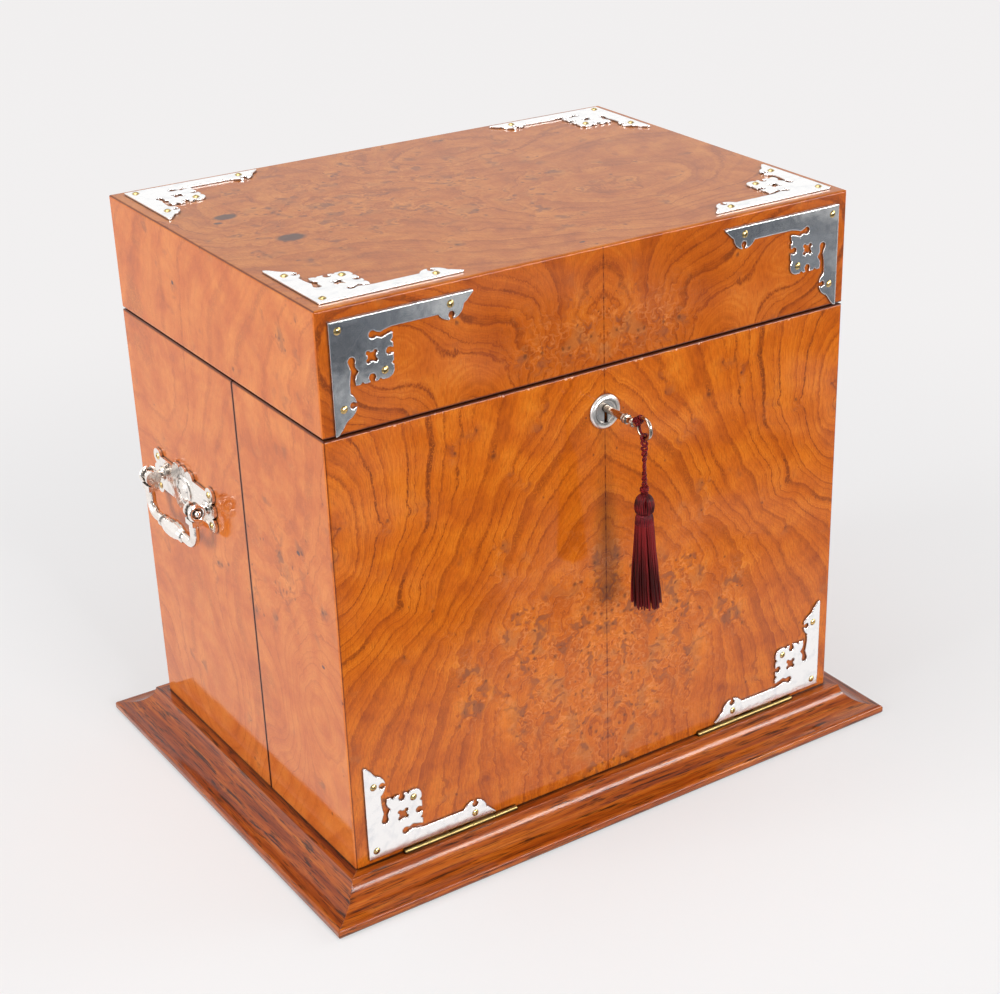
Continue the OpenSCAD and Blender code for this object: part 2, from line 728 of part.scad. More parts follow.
// Two eyed staples that hang from the link plate and enter the lock
module link_staples() color(brass) for (s = [-1, 1]) difference() {
    translate([s * staple_x - staple_t / 2, (cavity_y0 + cavity_y1 - staple_w) / 2, z_seam - staple_drop])
        cube([staple_t, staple_w, staple_drop + lid_gap]);
    translate([s * staple_x - staple_t, bolt_y0 - 0.25, prong_z0 - 0.5])
        cube([2 * staple_t, bolt_t + 0.5, prong_h + 1]);
}

// Escutcheon: a turned ring plate round the keyhole
module escutcheon() color(silver) translate([0, y_front, key_z - key_rise]) difference() {
    rotate([90, 0, 0]) rotate_extrude($fn = 96) polygon([[0, 0], [escutcheon_r, 0],
        [escutcheon_r, 0.4], [escutcheon_r - 0.3, 0.9], [escutcheon_r - 0.9, 1.5], [escutcheon_r - 1.6, 1.8],
        [escutcheon_r - 2.2, 1.7], [escutcheon_r - 2.5, 1.2], [escutcheon_r - 2.8, 1.2], [escutcheon_r - 3, 1.5],
        [escutcheon_r - 3.4, 1.5], [escutcheon_r - 3.7, 0.9], [0, 0.9]]);
    translate([0, 0, key_rise]) keyhole(stem_r + 0.25, bit_t + 0.4, bit_reach + 0.3, 8);
}

// Key: bit, collared stem and ring bow, in the upright plane through its axis
module key() color(silver) translate([0, y_front, key_z]) {
    shaft_in = lock_skin + lock_cap_t + (cavity_y1 - cavity_y0) - 0.3;
    rotate([90, 0, 0]) translate([0, 0, -shaft_in]) rotate_extrude($fn = 48)
        polygon([[0, 0], [stem_r, 0], [stem_r, shaft_in + 16.2], [stem_r + 0.5, shaft_in + 16.4],
            [stem_r + 0.7, shaft_in + 17], [stem_r + 0.5, shaft_in + 17.6], [stem_r + 0.1, shaft_in + 17.9],
            [stem_r + 0.5, shaft_in + 18.2], [stem_r + 0.7, shaft_in + 18.8], [stem_r + 0.5, shaft_in + 19.4],
            [stem_r - 0.3, shaft_in + 19.8], [stem_r - 0.5, shaft_in + 22.4], [stem_r + 0.3, shaft_in + 23],
            [stem_r + 0.6, shaft_in + 23.9], [stem_r + 0.3, shaft_in + 24.8], [stem_r - 0.5, shaft_in + 25.5],
            [stem_r - 0.9, shaft_in + bow_out - bow_r], [0, shaft_in + bow_out - bow_r]]);
    translate([0, -bow_out, 0]) rotate([0, 90, 0])
        rotate_extrude($fn = 64) translate([bow_r, 0]) circle(bow_wire_r, $fn = 32);
    translate([-bit_t / 2, lock_skin + lock_cap_t + 0.4, -bit_reach]) difference() {
        cube([bit_t, 3.4, bit_reach - stem_r / 2]);
        translate([-1, 1.1, -1]) cube([bit_t + 2, 1, 3]);
    }
}

// Tassel: a doubled silk cord over the bow, a turned head and a fringe

bow_foot_z = key_z - bow_r;
tassel_y = y_front - bow_out;
head_top_z = bow_foot_z - cord_drop;
// Flat top of the knot above the head, where the cord goes in
knot_top = 0.2;
// Route of the cord about the lowest point of the bow's wire, as [across, up]
loop_r = bow_wire_r + cord_d / 2 + 0.15;
half_gap = cord_d / 2 + 0.05;
strand = [for (i = [0:9]) [half_gap + (loop_r - half_gap) * pow(i / 10, 4), (i / 10 - 1) * (cord_drop - knot_top)]];
cord_route = concat(strand, [for (a = [0:20:180]) loop_r * [cos(a), sin(a)]],
    [for (i = [9:-1:0]) [-strand[i][0], strand[i][1]]]);

function turned(a, b) = let (d = b - a) [-d[1], d[0]] / norm(d);

// Tube of square-on rings along a route in the plane across the bow
module cord_tube(route, d, sides) {
    n = len(route);
    side_dir = [for (i = [0:n - 1]) turned(route[max(i - 1, 0)], route[min(i + 1, n - 1)])];
    points = [for (i = [0:n - 1], k = [0:sides - 1])
        let (a = 360 * k / sides, o = side_dir[i] * cos(a) * d / 2)
            [route[i][0] + o[0], sin(a) * d / 2, route[i][1] + o[1]]];
    walls = [for (i = [0:n - 2], k = [0:sides - 1])
        let (k2 = (k + 1) % sides) each [
            [i * sides + k, i * sides + k2, (i + 1) * sides + k],
            [i * sides + k2, (i + 1) * sides + k2, (i + 1) * sides + k]]];
    first_cap = [for (k = [1:sides - 2]) [0, k + 1, k]];
    last_cap = [for (k = [1:sides - 2]) let (b = (n - 1) * sides) [b, b + k, b + k + 1]];
    polyhedron(points, concat(walls, first_cap, last_cap));
}

module tassel_cord() color(silk) translate([0, tassel_y, bow_foot_z]) cord_tube(cord_route, cord_d, 8);

module tassel_head() color(silk) translate([0, tassel_y, head_top_z]) rotate_extrude($fn = 48) {
    difference() {
        union() {
            translate([0, -1.2]) circle(2.2, $fn = 32);
            translate([0, -2.6 - tassel_r]) circle(tassel_r, $fn = 48);
            translate([0, -5 - tassel_r]) square([tassel_r, 3]);
            translate([0, -3 - 2 * tassel_r]) square([tassel_r - 0.5, 4.5]);
            translate([0, -6.4 - 2 * tassel_r]) square([tassel_r - 0.7, 4]);
        }
        translate([-20, -40]) square([20, 60]);
        translate([0, knot_top]) square([5, 5]);
    }
}

fringe_z = head_top_z - 6.4 - 2 * tassel_r;

module tassel_fringe() color(silk) translate([0, tassel_y, fringe_z]) rotate_extrude($fn = 48)
    polygon([[0, 0], [tassel_r - 0.4, 0], [tassel_r + 0.5, -fringe_len * 0.3],
        [tassel_r + 1.9, -fringe_len * 0.7], [tassel_r + 2.7, -fringe_len + 1.5],
        [tassel_r + 1.8, -fringe_len], [0, -fringe_len]]);

// Bail handles

function handle_screw_at() = [for (sy = [-1, 1], sz = [-1, 1]) [sy * handle_screw_x, sz * handle_screw_z]];

// Frame on the right side of the case: +X outwards, Y along the plate, Z up
module handle_frame() translate([x_side, handle_y, bail_z]) children();

module plate_outline() {
    half = plate_len / 2;
    high = plate_high / 2;
    difference() {
        union() {
            square([plate_len - 9, plate_high - 6.5], center = true);
            for (sx = [-1, 1], sy = [-1, 1]) translate([sx * (half - 4.8), sy * (high - 4.4)]) circle(4.4, $fn = 32);
            for (sx = [-1, 1]) translate([sx * (half - 4.2), 0]) circle(4.2, $fn = 32);
            for (sx = [-1, 1], sy = [-1, 1]) translate([sx * 7.6, sy * (high - 4.2)]) circle(4.6, $fn = 32);
            for (sy = [-1, 1]) translate([0, sy * (high - 3.7)]) circle(4.4, $fn = 32);
        }
        for (sx = [-1, 1], sy = [-1, 1])
            translate([sx * (half - 0.4), sy * 5]) circle(1.5, $fn = 24);
        for (p = handle_screw_at()) translate(p) circle(screw_shank_r + shank_fit, $fn = 24);
    }
}

// Turned round piece standing out from the plate along +X
module spun_x(points) rotate([0, 90, 0]) rotate_extrude($fn = 48) polygon(points);

module handle_plate_right() color(silver) handle_frame() difference() {
    union() {
        rotate([90, 0, 90]) linear_extrude(plate_t) plate_outline();
        translate([plate_t - eps, 0, 0]) spun_x([[0, 0], [8.6, 0], [8.4, 0.6], [7.2, 1], [6.8, 0.5], [6.2, 0.6],
            [5.4, 1.5], [3.6, 2.3], [1.6, 2.6], [1.4, 1.9], [0, 1.8]]);
        for (s = [-1, 1]) translate([0, s * bail_half, 0]) {
            translate([plate_t - eps, 0, 0]) spun_x([[0, 0], [3.8, 0], [3.6, 0.7], [2.1, 1.6],
                [2.1, bail_out - plate_t], [0, bail_out - plate_t]]);
            translate([bail_out, 0, 0]) rod_y(knuckle_r, knuckle_w);
        }
    }
    for (s = [-1, 1]) translate([bail_out, s * bail_half, 0]) rod_y(bail_pin_r + pin_fit, knuckle_w + 2);
}

module handle_plate_left() mirror([1, 0, 0]) handle_plate_right();

pin_len = knuckle_w + 2 * (cheek_gap + cheek_w);
// Volute eye of the bail: a round ring about a thin web, with the pin's ball in the middle
volute_r = 1.15;
web_t = 1;
ball_r = 1.9;
web_out = knuckle_w / 2 + cheek_gap + web_t;

// Pins with a ball at the outer end
module handle_pins_right() color(silver) handle_frame() for (s = [-1, 1])
    translate([bail_out, s * bail_half, 0]) {
        rod_y(bail_pin_r, pin_len - 0.2);
        intersection() {
            translate([0, s * (web_out + 0.9), 0]) sphere(ball_r, $fn = 32);
            translate([0, s * (web_out + 0.15 + ball_r), 0]) cube([3 * ball_r, 2 * ball_r, 3 * ball_r], center = true);
        }
    }

module handle_pins_left() mirror([1, 0, 0]) handle_pins_right();

module handle_screws_right() color(brass) handle_frame() for (p = handle_screw_at())
    translate([plate_t, p[0], p[1]]) rotate([0, 90, 0]) rotate(20 + 3 * p[1]) round_screw();

module handle_screws_left() mirror([1, 0, 0]) handle_screws_right();

// Bail: forked eyes, two arms, rounded corners and a bar with a baluster swell
module bail_right() color(silver) handle_frame() translate([bail_out, 0, 0]) {
    arm_r = 2.5;
    elbow = 7;
    lean = 1;
    yoke_z = -knuckle_r - 0.8;
    difference() {
        union() {
            for (s = [-1, 1]) translate([0, s * bail_half, 0]) {
                translate([0, -s * (knuckle_w / 2 + cheek_gap + cheek_w / 2), 0]) rod_y(cheek_r - 0.8, cheek_w);
                translate([0, s * (web_out - web_t / 2), 0]) rod_y(cheek_r - volute_r, web_t);
                translate([0, s * (web_out - web_t + volute_r), 0]) rotate([90, 0, 0])
                    rotate_extrude($fn = 48) translate([cheek_r - volute_r, 0]) circle(volute_r, $fn = 24);
                for (t = [-1, 1]) translate([0, t * (knuckle_w / 2 + cheek_gap + cheek_w / 2), 0])
                    translate([-arm_r, -cheek_w / 2, yoke_z - 3]) cube([2 * arm_r + lean, cheek_w, 3]);
                translate([-arm_r, -pin_len / 2, yoke_z - 3.2]) cube([2 * arm_r + lean, pin_len, 3]);
            }
        }
        for (s = [-1, 1]) translate([0, s * bail_half, 0]) rod_y(bail_pin_r + pin_fit, pin_len + 1);
    }
    translate([lean, 0, 0]) {
        for (s = [-1, 1]) {
            translate([0, s * bail_half, elbow - bail_drop])
                cylinder(r = arm_r, h = bail_drop - elbow + yoke_z - 1, $fn = 32);
            translate([0, s * (bail_half - elbow), elbow - bail_drop]) rotate([0, 90, 0])
                rotate(s > 0 ? 0 : -90) rotate_extrude(angle = 90, $fn = 64)
                    translate([elbow, 0]) circle(arm_r, $fn = 32);
        }
        translate([0, 0, -bail_drop]) rotate([90, 0, 0]) translate([0, 0, elbow - bail_half])
            rotate_extrude($fn = 48) bar_profile(2 * (bail_half - elbow), arm_r);
    }
}

module bar_profile(len, r) {
    m = len / 2;
    polygon([[0, 0], [r, 0], [r, m - 13.5], [r + 0.9, m - 13], [r + 0.9, m - 12], [r + 0.1, m - 11.5],
        [r + 0.9, m - 9], [r + 1.7, m - 5.5], [r + 2.1, m - 2], [r + 2.1, m + 2], [r + 1.7, m + 5.5],
        [r + 0.9, m + 9], [r + 0.1, m + 11.5], [r + 0.9, m + 12], [r + 0.9, m + 13], [r, m + 13.5],
        [r, len], [0, len]]);
}

module bail_left() mirror([1, 0, 0]) bail_right();

base_board();
plinth_front();
plinth_back();
plinth_left();
plinth_right();
case_back();
case_side_left();
case_side_right();
seam_stops();
decanter_rail();
decanter_dividers();
tumbler_gallery();
decanter_left();
decanter_centre();
decanter_right();
stopper_left();
stopper_centre();
stopper_right();
tumbler_1();
tumbler_2();
tumbler_3();
tumbler_4();
lid_top();
lid_front();
lid_back();
lid_left();
lid_right();
lid_top_mounts();
lid_front_mounts();
lid_mount_screws();
lid_hinge_case_leaves();
lid_hinge_lid_leaves();
lid_hinge_pins();
link_plate();
link_staples();
front_panel();
front_cheek_left();
front_cheek_right();
case_front_mounts();
front_mount_screws();
front_hinge_base_leaves();
front_hinge_front_leaves();
front_hinge_pins();
lock_case();
lock_bolt();
escutcheon();
key();
tassel_cord();
tassel_head();
tassel_fringe();
handle_plate_left();
handle_plate_right();
handle_pins_left();
handle_pins_right();
handle_screws_left();
handle_screws_right();
bail_left();
bail_right();
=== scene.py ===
import functools
import math
import bpy
import bmesh
import numpy as np
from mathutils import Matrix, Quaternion, Vector


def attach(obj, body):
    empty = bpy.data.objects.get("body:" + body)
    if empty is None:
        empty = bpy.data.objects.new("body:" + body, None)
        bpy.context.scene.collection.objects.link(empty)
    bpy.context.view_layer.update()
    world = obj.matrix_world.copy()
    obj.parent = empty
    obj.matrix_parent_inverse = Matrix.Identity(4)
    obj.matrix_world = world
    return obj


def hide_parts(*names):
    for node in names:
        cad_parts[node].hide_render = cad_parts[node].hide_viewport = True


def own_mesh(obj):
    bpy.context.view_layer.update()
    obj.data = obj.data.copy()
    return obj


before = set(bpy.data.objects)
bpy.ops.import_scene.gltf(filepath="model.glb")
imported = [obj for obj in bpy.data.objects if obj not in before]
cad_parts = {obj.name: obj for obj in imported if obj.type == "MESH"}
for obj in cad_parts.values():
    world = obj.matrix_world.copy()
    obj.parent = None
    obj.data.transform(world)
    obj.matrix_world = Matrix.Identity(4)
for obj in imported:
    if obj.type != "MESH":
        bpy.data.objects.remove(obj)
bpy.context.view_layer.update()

scene = bpy.context.scene
scene.view_settings.view_transform = "Standard"
mm = 0.001
print("frame loaded:", len(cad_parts), "nodes")


# Camera, fitted to the edges of the case in the photograph
view = {
    "place": (-0.5255, -0.8524, 0.6061),     # metres
    "look": (0.52429, 0.72561, -0.44566),    # direction of sight
    "rollDegrees": -0.328,
    "lens": 71.24,                           # mm
    "sensor": 36,                            # mm wide
    "shift": (-0.1216, 0.0476),
}
cameraData = bpy.data.cameras.new("studioCamera")
cameraData.sensor_width = view["sensor"]
cameraData.lens = view["lens"]
cameraData.shift_x, cameraData.shift_y = view["shift"]
cameraData.clip_start = 0.01
camera = bpy.data.objects.new("studioCamera", cameraData)
camera.location = view["place"]
camera.rotation_mode = "QUATERNION"
roll = Quaternion((0, 0, 1), math.radians(view["rollDegrees"]))
camera.rotation_quaternion = Vector(view["look"]).to_track_quat("-Z", "Y") @ roll
scene.collection.objects.link(camera)
scene.camera = camera
print("camera set")


# Colours and nodes
relief = 0.2 * mm        # how deep pores, lines and fibres are felt
modeOf = {               # the option that each kind of node calls its mode
    "Math": "operation",
    "VectorMath": "operation",
    "MapRange": "interpolation_type",
    "Mix": "data_type",
    "TexNoise": "noise_dimensions",
    "TexWhiteNoise": "noise_dimensions",
    "TexVoronoi": "voronoi_dimensions",
}


def linear(hexCode):
    # sRGB to linear: c / 12.92 below 0.04045, ((c + 0.055) / 1.055) ^ 2.4 above
    parts = [int(hexCode[i:i + 2], 16) / 255 for i in (1, 3, 5)]
    return tuple(c / 12.92 if c <= 0.04045 else ((c + 0.055) / 1.055) ** 2.4 for c in parts) + (1.0,)


def fill(node, inputs):
    # numbers and colours are set on the sockets; a socket, or a node's first live output, is linked
    for key, given in inputs.items():
        if isinstance(given, bpy.types.Node):
            given = next(socket for socket in given.outputs if socket.enabled)
        if isinstance(given, bpy.types.NodeSocket):
            node.id_data.links.new(given, node.inputs[key])
        else:
            node.inputs[key].default_value = given


def addNode(tree, kind, *inputs, stops=(), **settings):
    # one node: kind can end in its mode, inputs go to its sockets in order or, in a dictionary, by
    # name or number, stops are the (place, colour) of a ramp, and settings are its other options
    kind, _, mode = kind.partition(" ")
    node = tree.nodes.new("ShaderNode" + kind)
    if mode:
        setattr(node, modeOf[kind], mode)
    for key, value in settings.items():
        setattr(node, key, value)
    for number, given in enumerate(inputs):
        fill(node, given if isinstance(given, dict) else {number: given})
    if stops:
        elements = node.color_ramp.elements
        while len(elements) < len(stops):
            elements.new(0.5)
        for element, (place, colour) in zip(elements, stops):
            element.position = place
            element.color = linear(colour)
    return node


def newFinish(name, **constants):
    # a material, its own addNode and its Principled shader, whose constant sockets go by name
    finish = bpy.data.materials.new(name)
    finish.use_nodes = True
    shader = finish.node_tree.nodes["Principled BSDF"]
    fill(shader, {key.replace("_", " "): value for key, value in constants.items()})
    return finish, functools.partial(addNode, finish.node_tree), shader


def shadeAndGrime(add, reach, most):
    # painted shade where surfaces meet and less light reaches, with the dirt and old polish that gather
    # there: the share of nearby directions that are blocked
    openShare = add("AmbientOcclusion", {"Distance": reach}, samples=6).outputs["AO"]
    return add("MapRange", openShare, 0.42, 0.95, most, 0.0)


# Burr veneer
# flame-figured wood with a burr in it, sliced thin, glued down and hard polished: growth layers cut
# at a shallow angle show as contour lines of a smooth height field, broken and dotted with pores. In
# the burr the layers curl, and the buds show as grey-brown smudges with dark pips and pale rims.
figure = {
    "wideWarp": (52, 22),         # mm, size and reach of the figure's broad waves
    "tightWarp": (9, 3.2, 17),    # mm, size and reach of the tight waves, and what the burr adds to it
    "burrBays": (24, 1.3),        # mm, size of the bays in the burr's border, and their depth
    "ringEvery": 8.0,             # mm of height between growth lines
    "ringDrift": (17, 2.3),       # mm over which the spacing drifts, and by how many lines
    "comb": (0.8, 3.4),           # mm, wide and tall, of the teeth that open pores cut into a growth line
    "combReach": 2.6,             # mm
    "lineDots": 1.2,              # mm
    "lineBreaks": 17,             # mm
    "fineLines": 4.3,             # fine lines to a growth line
    "fineDots": 1.3,              # mm
    "tick": (0.42, 4.6),          # mm, wide and tall, of the loose pore ticks
    "fibre": 0.8,                 # mm
    "fibreBend": (3, 1.6),        # mm, size and reach
    "pore": 0.5,                  # mm
    "shimmer": 17,                # mm
    "unlevel": 30,                # mm, the slow waves of the polish
    "clusterEvery": 16,           # mm between clusters of buds
    "budEvery": 8.0,              # mm between the buds of a cluster
    "budSwell": 9.0,              # mm that the layers rise over a bud
    "rimWear": 4.5,               # mm
    "haloEvery": 11,              # mm between the soft brown clouds round the buds
    "fleckEvery": 2.6,            # mm
    "pipEvery": 4.2,              # mm between pips
    "ragged": (3.6, 2.4),         # mm, size and reach of the ragged edges of buds and pips
    "raggedShift": 1.5,           # mm, about how far that moves a place
    "jointReach": 0.55,           # mm, half the width of the line where the two leaves meet
    "jointGaps": 3,               # mm
    "chipSize": 4,                # mm
    "skin": 1.0,                  # mm of veneer and edge before the plain carcass wood shows
    "tones": ["#9A460E", "#BC5E16", "#CA6C1C", "#DA842C"],
    "tonePlaces": (0.12, 0.40, 0.60, 0.90),
    "line": "#6A2E08",
    "rim": "#E69C58",
    "halo": "#A2622E",
    "fleck": "#9C582C",
    "smudge": "#744028",
    "pip": "#4E2A18",
    "knot": "#40302F",
    "joint": "#4A1406",
    "chip": "#E6B08A",
    # painted shade along the joints' gaps, with dirt and old polish on their arrises
    "arris": "#4A1A0A",
    # painted shade where surfaces meet, with dirt and old polish
    "shadeAndDirt": "#2E1206",
    "carcass": ["#7C4018", "#A8602C"],
    # the most that each mark covers of what lies under it
    "most": {"tick": 0.32, "fine": 0.36, "line": 0.78, "rim": 0.20, "curl": 0.16, "halo": 0.46,
             "fleck": 0.28, "smudge": 0.66, "pip": 0.7, "knot": 0.88, "chip": 0.7, "arris": 0.88},
}
half = {"x": 155.5, "y": 111.5, "top": 313.2, "seam": 251.7}  # mm, the case's outer faces and lid seam


def veneer(name, across, up, inward, eyes, burr, slope=(0.05, 0.25), mirrored=False, seed=0.0,
           tones=None, contrast=1.0, knots=(), chips=None, jointShade=(), loud=None, coat=0.66):
    # across, up and inward are (axis x, axis y, axis z, offset in mm): millimetres over the face
    # and behind it. Height F = slope . P + sum of h exp(-|P - c|^2 / s^2) + noise. Growth lines lie
    # where the fraction of F / ringEvery nears 0.9. eyes are (centre u, v, half width u, v, height),
    # burr is (centre u, v, half width u, v, strength), a knot is (u, v, radius), a jointShade band of painted
    # shade is (1 for level or 0 for upright, place, reach), and loud is (u, v, reach u, reach v).
    finish, add, shader = newFinish(name, Roughness=0.5, IOR=1.5, Specular_IOR_Level=0.04,
                                    Coat_Weight=coat, Coat_Roughness=0.045, Coat_IOR=1.55)
    here = add("TexCoord").outputs["Object"]

    def along(axis):
        turned = add("VectorMath DOT_PRODUCT", here, [c / mm for c in axis[:3]])
        return add("Math ADD", turned, axis[3])

    def bell(place, cu, cv, ru, rv):
        away = add("VectorMath SUBTRACT", place, (cu, cv, seed))
        away = add("VectorMath MULTIPLY", away, (1 / ru, 1 / rv, 0))
        squared = add("VectorMath DOT_PRODUCT", away, away)
        return add("Math EXPONENT", add("Math MULTIPLY", squared, -1))

    most = figure["most"]
    u, v, w = along(across), along(up), along(inward)
    uFace = u
    if mirrored:
        u = add("Math ABSOLUTE", u)
    flat = add("CombineXYZ", u, v, seed)

    # burr mask, 0 to 1, with a ragged border
    burrU, burrV, reachU, reachV, strength = burr
    baySize, bayDepth = figure["burrBays"]
    far = add("VectorMath SUBTRACT", flat, (burrU, burrV, seed))
    far = add("VectorMath LENGTH", add("VectorMath MULTIPLY", far, (1 / reachU, 1 / reachV, 0)))
    bays = add("TexNoise", {"Vector": flat, "Scale": 1 / baySize})
    mask = add("Math MULTIPLY_ADD", bays, bayDepth, add("Math SUBTRACT", 0.62, far), use_clamp=True)
    mask = add("Math MULTIPLY", mask, strength)

    # warp of the coordinates: broad everywhere, tight in the burr
    wideSize, wideReach = figure["wideWarp"]
    tightSize, tightReach, burrReach = figure["tightWarp"]
    wide = add("TexNoise", {"Vector": flat, "Scale": 1 / wideSize, "Detail": 1}).outputs["Color"]
    wide = add("VectorMath SUBTRACT", wide, (0.5, 0.5, 0.5))
    tight = add("TexNoise", {"Vector": flat, "Scale": 1 / tightSize}).outputs["Color"]
    tight = add("VectorMath SUBTRACT", tight, (0.5, 0.5, 0.5))
    tight = add("VectorMath SCALE", tight, {"Scale": add("Math MULTIPLY_ADD", mask, burrReach, tightReach)})
    warped = add("VectorMath MULTIPLY_ADD", wide, (wideReach, wideReach, 0), flat)
    warped = add("VectorMath ADD", warped, tight)

    # height field
    height = add("VectorMath DOT_PRODUCT", warped, (slope[0], slope[1], 0))
    for eyeU, eyeV, eyeReachU, eyeReachV, rise in eyes:
        height = add("Math MULTIPLY_ADD", bell(warped, eyeU, eyeV, eyeReachU, eyeReachV), rise, height)

    # buds of the burr: ragged smudges with pale curling rims, the layers flowing round each
    raggedSize, raggedReach = figure["ragged"]
    jitter = add("TexNoise", {"Vector": flat, "Scale": 1 / raggedSize}).outputs["Color"]
    jitter = add("VectorMath MULTIPLY_ADD", jitter, (raggedReach, raggedReach, 0), flat)
    cluster = add("TexNoise", {"Vector": flat, "Scale": 1 / figure["clusterEvery"], "Detail": 1})
    cluster = add("MapRange SMOOTHSTEP", add("Math MULTIPLY_ADD", mask, 0.46, cluster), 0.58, 0.90)
    blot = add("TexNoise", {"Vector": add("VectorMath ADD", jitter, tight),
                            "Scale": 1 / figure["budEvery"], "Roughness": 0.55})
    smudge = add("MapRange SMOOTHSTEP", blot, 0.545, 0.66)
    smudge = add("Math MULTIPLY", smudge, add("Math MULTIPLY", cluster, most["smudge"]))
    rim = add("Math MULTIPLY", add("Math ABSOLUTE", add("Math SUBTRACT", blot, 0.505)), 22)
    rim = add("Math MULTIPLY", add("Math SUBTRACT", 1, rim, use_clamp=True), cluster)
    worn = add("TexNoise", {"Vector": flat, "Scale": 1 / figure["rimWear"]})
    rim = add("Math MULTIPLY", rim, add("MapRange SMOOTHSTEP", worn, 0.42, 0.62))
    curls = add("Math PINGPONG", add("Math MULTIPLY", blot, 10), 1.0)
    curls = add("MapRange SMOOTHSTEP", curls, 0.5, 1.0)
    curls = add("Math MULTIPLY", curls, add("Math MULTIPLY", mask, most["curl"]))
    flecks = add("TexNoise", {"Vector": jitter, "Scale": 1 / figure["fleckEvery"], "Detail": 1})
    flecks = add("MapRange SMOOTHSTEP", flecks, 0.56, 0.68)
    flecks = add("Math MULTIPLY", flecks, add("Math MULTIPLY", cluster, most["fleck"]))
    halo = add("TexNoise", {"Vector": jitter, "Scale": 1 / figure["haloEvery"], "Detail": 1})
    halo = add("MapRange SMOOTHSTEP", halo, 0.52, 0.66)
    halo = add("Math MULTIPLY", halo, add("Math MULTIPLY", cluster, most["halo"]))
    height = add("Math MULTIPLY_ADD", add("Math MULTIPLY", blot, cluster), figure["budSwell"], height)

    # pips: most inside smudges, a few loose
    pips = add("TexVoronoi 2D", {"Vector": jitter, "Scale": 1 / figure["pipEvery"]})
    luck = add("SeparateXYZ", pips.outputs["Color"])
    chance = add("Math MULTIPLY_ADD", smudge, 0.5, add("Math MULTIPLY", cluster, 0.17))
    chosen = add("Math LESS_THAN", luck.outputs[0], chance)
    radius = add("Math MULTIPLY_ADD", luck.outputs[1], 1.5, 0.6)
    away = add("Math MULTIPLY", pips.outputs["Distance"], figure["pipEvery"])
    pip = add("Math MULTIPLY", add("MapRange SMOOTHSTEP", away, 0.0, radius, 1.0, 0.0), chosen)

    # growth lines: a slow darkening, then a thin dark line, unevenly spaced, broken and dotted
    driftSize, drift = figure["ringDrift"]
    comb = add("VectorMath MULTIPLY", flat, (1 / figure["comb"][0], 1 / figure["comb"][1], 1))
    comb = add("TexNoise", {"Vector": comb, "Scale": 1.0, "Roughness": 0.6})
    jagged = add("Math MULTIPLY_ADD", comb, figure["combReach"], height)
    uneven = add("TexNoise 1D", {"W": jagged, "Scale": 1 / driftSize, "Detail": 1})
    turn = add("Math MULTIPLY_ADD", uneven, drift, add("Math DIVIDE", jagged, figure["ringEvery"]))
    phase = add("Math FRACT", turn)
    thin = add("Math MULTIPLY", add("Math ABSOLUTE", add("Math SUBTRACT", phase, 0.90)), 12)
    thin = add("Math POWER", add("Math SUBTRACT", 1, thin, use_clamp=True), 0.6)
    own = add("TexWhiteNoise 1D", {"W": add("Math FLOOR", turn)})
    thin = add("Math MULTIPLY", thin, add("Math MULTIPLY_ADD", own, 0.8, 0.4), use_clamp=True)
    dots = add("TexNoise", {"Vector": flat, "Scale": 1 / figure["lineDots"], "Roughness": 0.7})
    breaks = add("TexNoise", {"Vector": flat, "Scale": 1 / figure["lineBreaks"], "Detail": 3})
    calm = add("Math MULTIPLY_ADD", mask, -0.80, 1.0)
    lineShare = add("Math MULTIPLY", thin, add("MapRange SMOOTHSTEP", dots, 0.32, 0.54))
    lineShare = add("Math MULTIPLY", lineShare, add("MapRange SMOOTHSTEP", breaks, 0.34, 0.56))
    lineShare = add("Math MULTIPLY", lineShare, add("Math MULTIPLY", calm, most["line"] * contrast))
    if loud:  # the figure is strong near one place and quiet elsewhere
        lineShare = add("Math MULTIPLY", lineShare, add("Math MULTIPLY_ADD", bell(flat, *loud), 0.62, 0.58))
    fine = add("Math FRACT", add("Math MULTIPLY", turn, figure["fineLines"]))
    fine = add("Math MULTIPLY", add("Math ABSOLUTE", add("Math SUBTRACT", fine, 0.5)), 3.4)
    fine = add("Math SUBTRACT", 1, fine, use_clamp=True)
    dots = add("TexNoise", {"Vector": flat, "Scale": 1 / figure["fineDots"], "Roughness": 0.7})
    fine = add("Math MULTIPLY", add("Math MULTIPLY", fine, dots), most["fine"] * contrast)

    # short upright pore ticks outside the burr, pores, fibres along the layers and a broad shimmer
    ticks = add("VectorMath MULTIPLY", flat, (1 / figure["tick"][0], 1 / figure["tick"][1], 1))
    ticks = add("MapRange SMOOTHSTEP", add("TexNoise", {"Vector": ticks, "Scale": 1.0}), 0.52, 0.68)
    ticks = add("Math MULTIPLY", ticks, add("Math MULTIPLY", calm, most["tick"] * contrast))
    bendSize, bendReach = figure["fibreBend"]
    fibre = add("TexNoise", {"Vector": flat, "Scale": 1 / bendSize})
    fibre = add("Math MULTIPLY_ADD", fibre, bendReach, height)
    fibre = add("TexNoise 1D", {"W": fibre, "Scale": 1 / figure["fibre"]})
    pores = add("TexNoise", {"Vector": flat, "Scale": 1 / figure["pore"], "Roughness": 0.6})
    shimmer = add("TexNoise", {"Vector": warped, "Scale": 1 / figure["shimmer"], "Detail": 3,
                               "Roughness": 0.55})
    tone = add("Math MULTIPLY_ADD", shimmer, 0.9, 0.08)
    tone = add("Math MULTIPLY_ADD", add("Math POWER", phase, 3), -0.24 * contrast, tone)
    tone = add("Math SUBTRACT", tone, 0.17 * contrast)
    tone = add("Math MULTIPLY_ADD", fibre, 0.34 * contrast, tone)
    tone = add("Math MULTIPLY_ADD", pores, 0.34, add("Math SUBTRACT", tone, 0.17))
    colour = add("ValToRGB", tone, stops=list(zip(figure["tonePlaces"], tones or figure["tones"])))

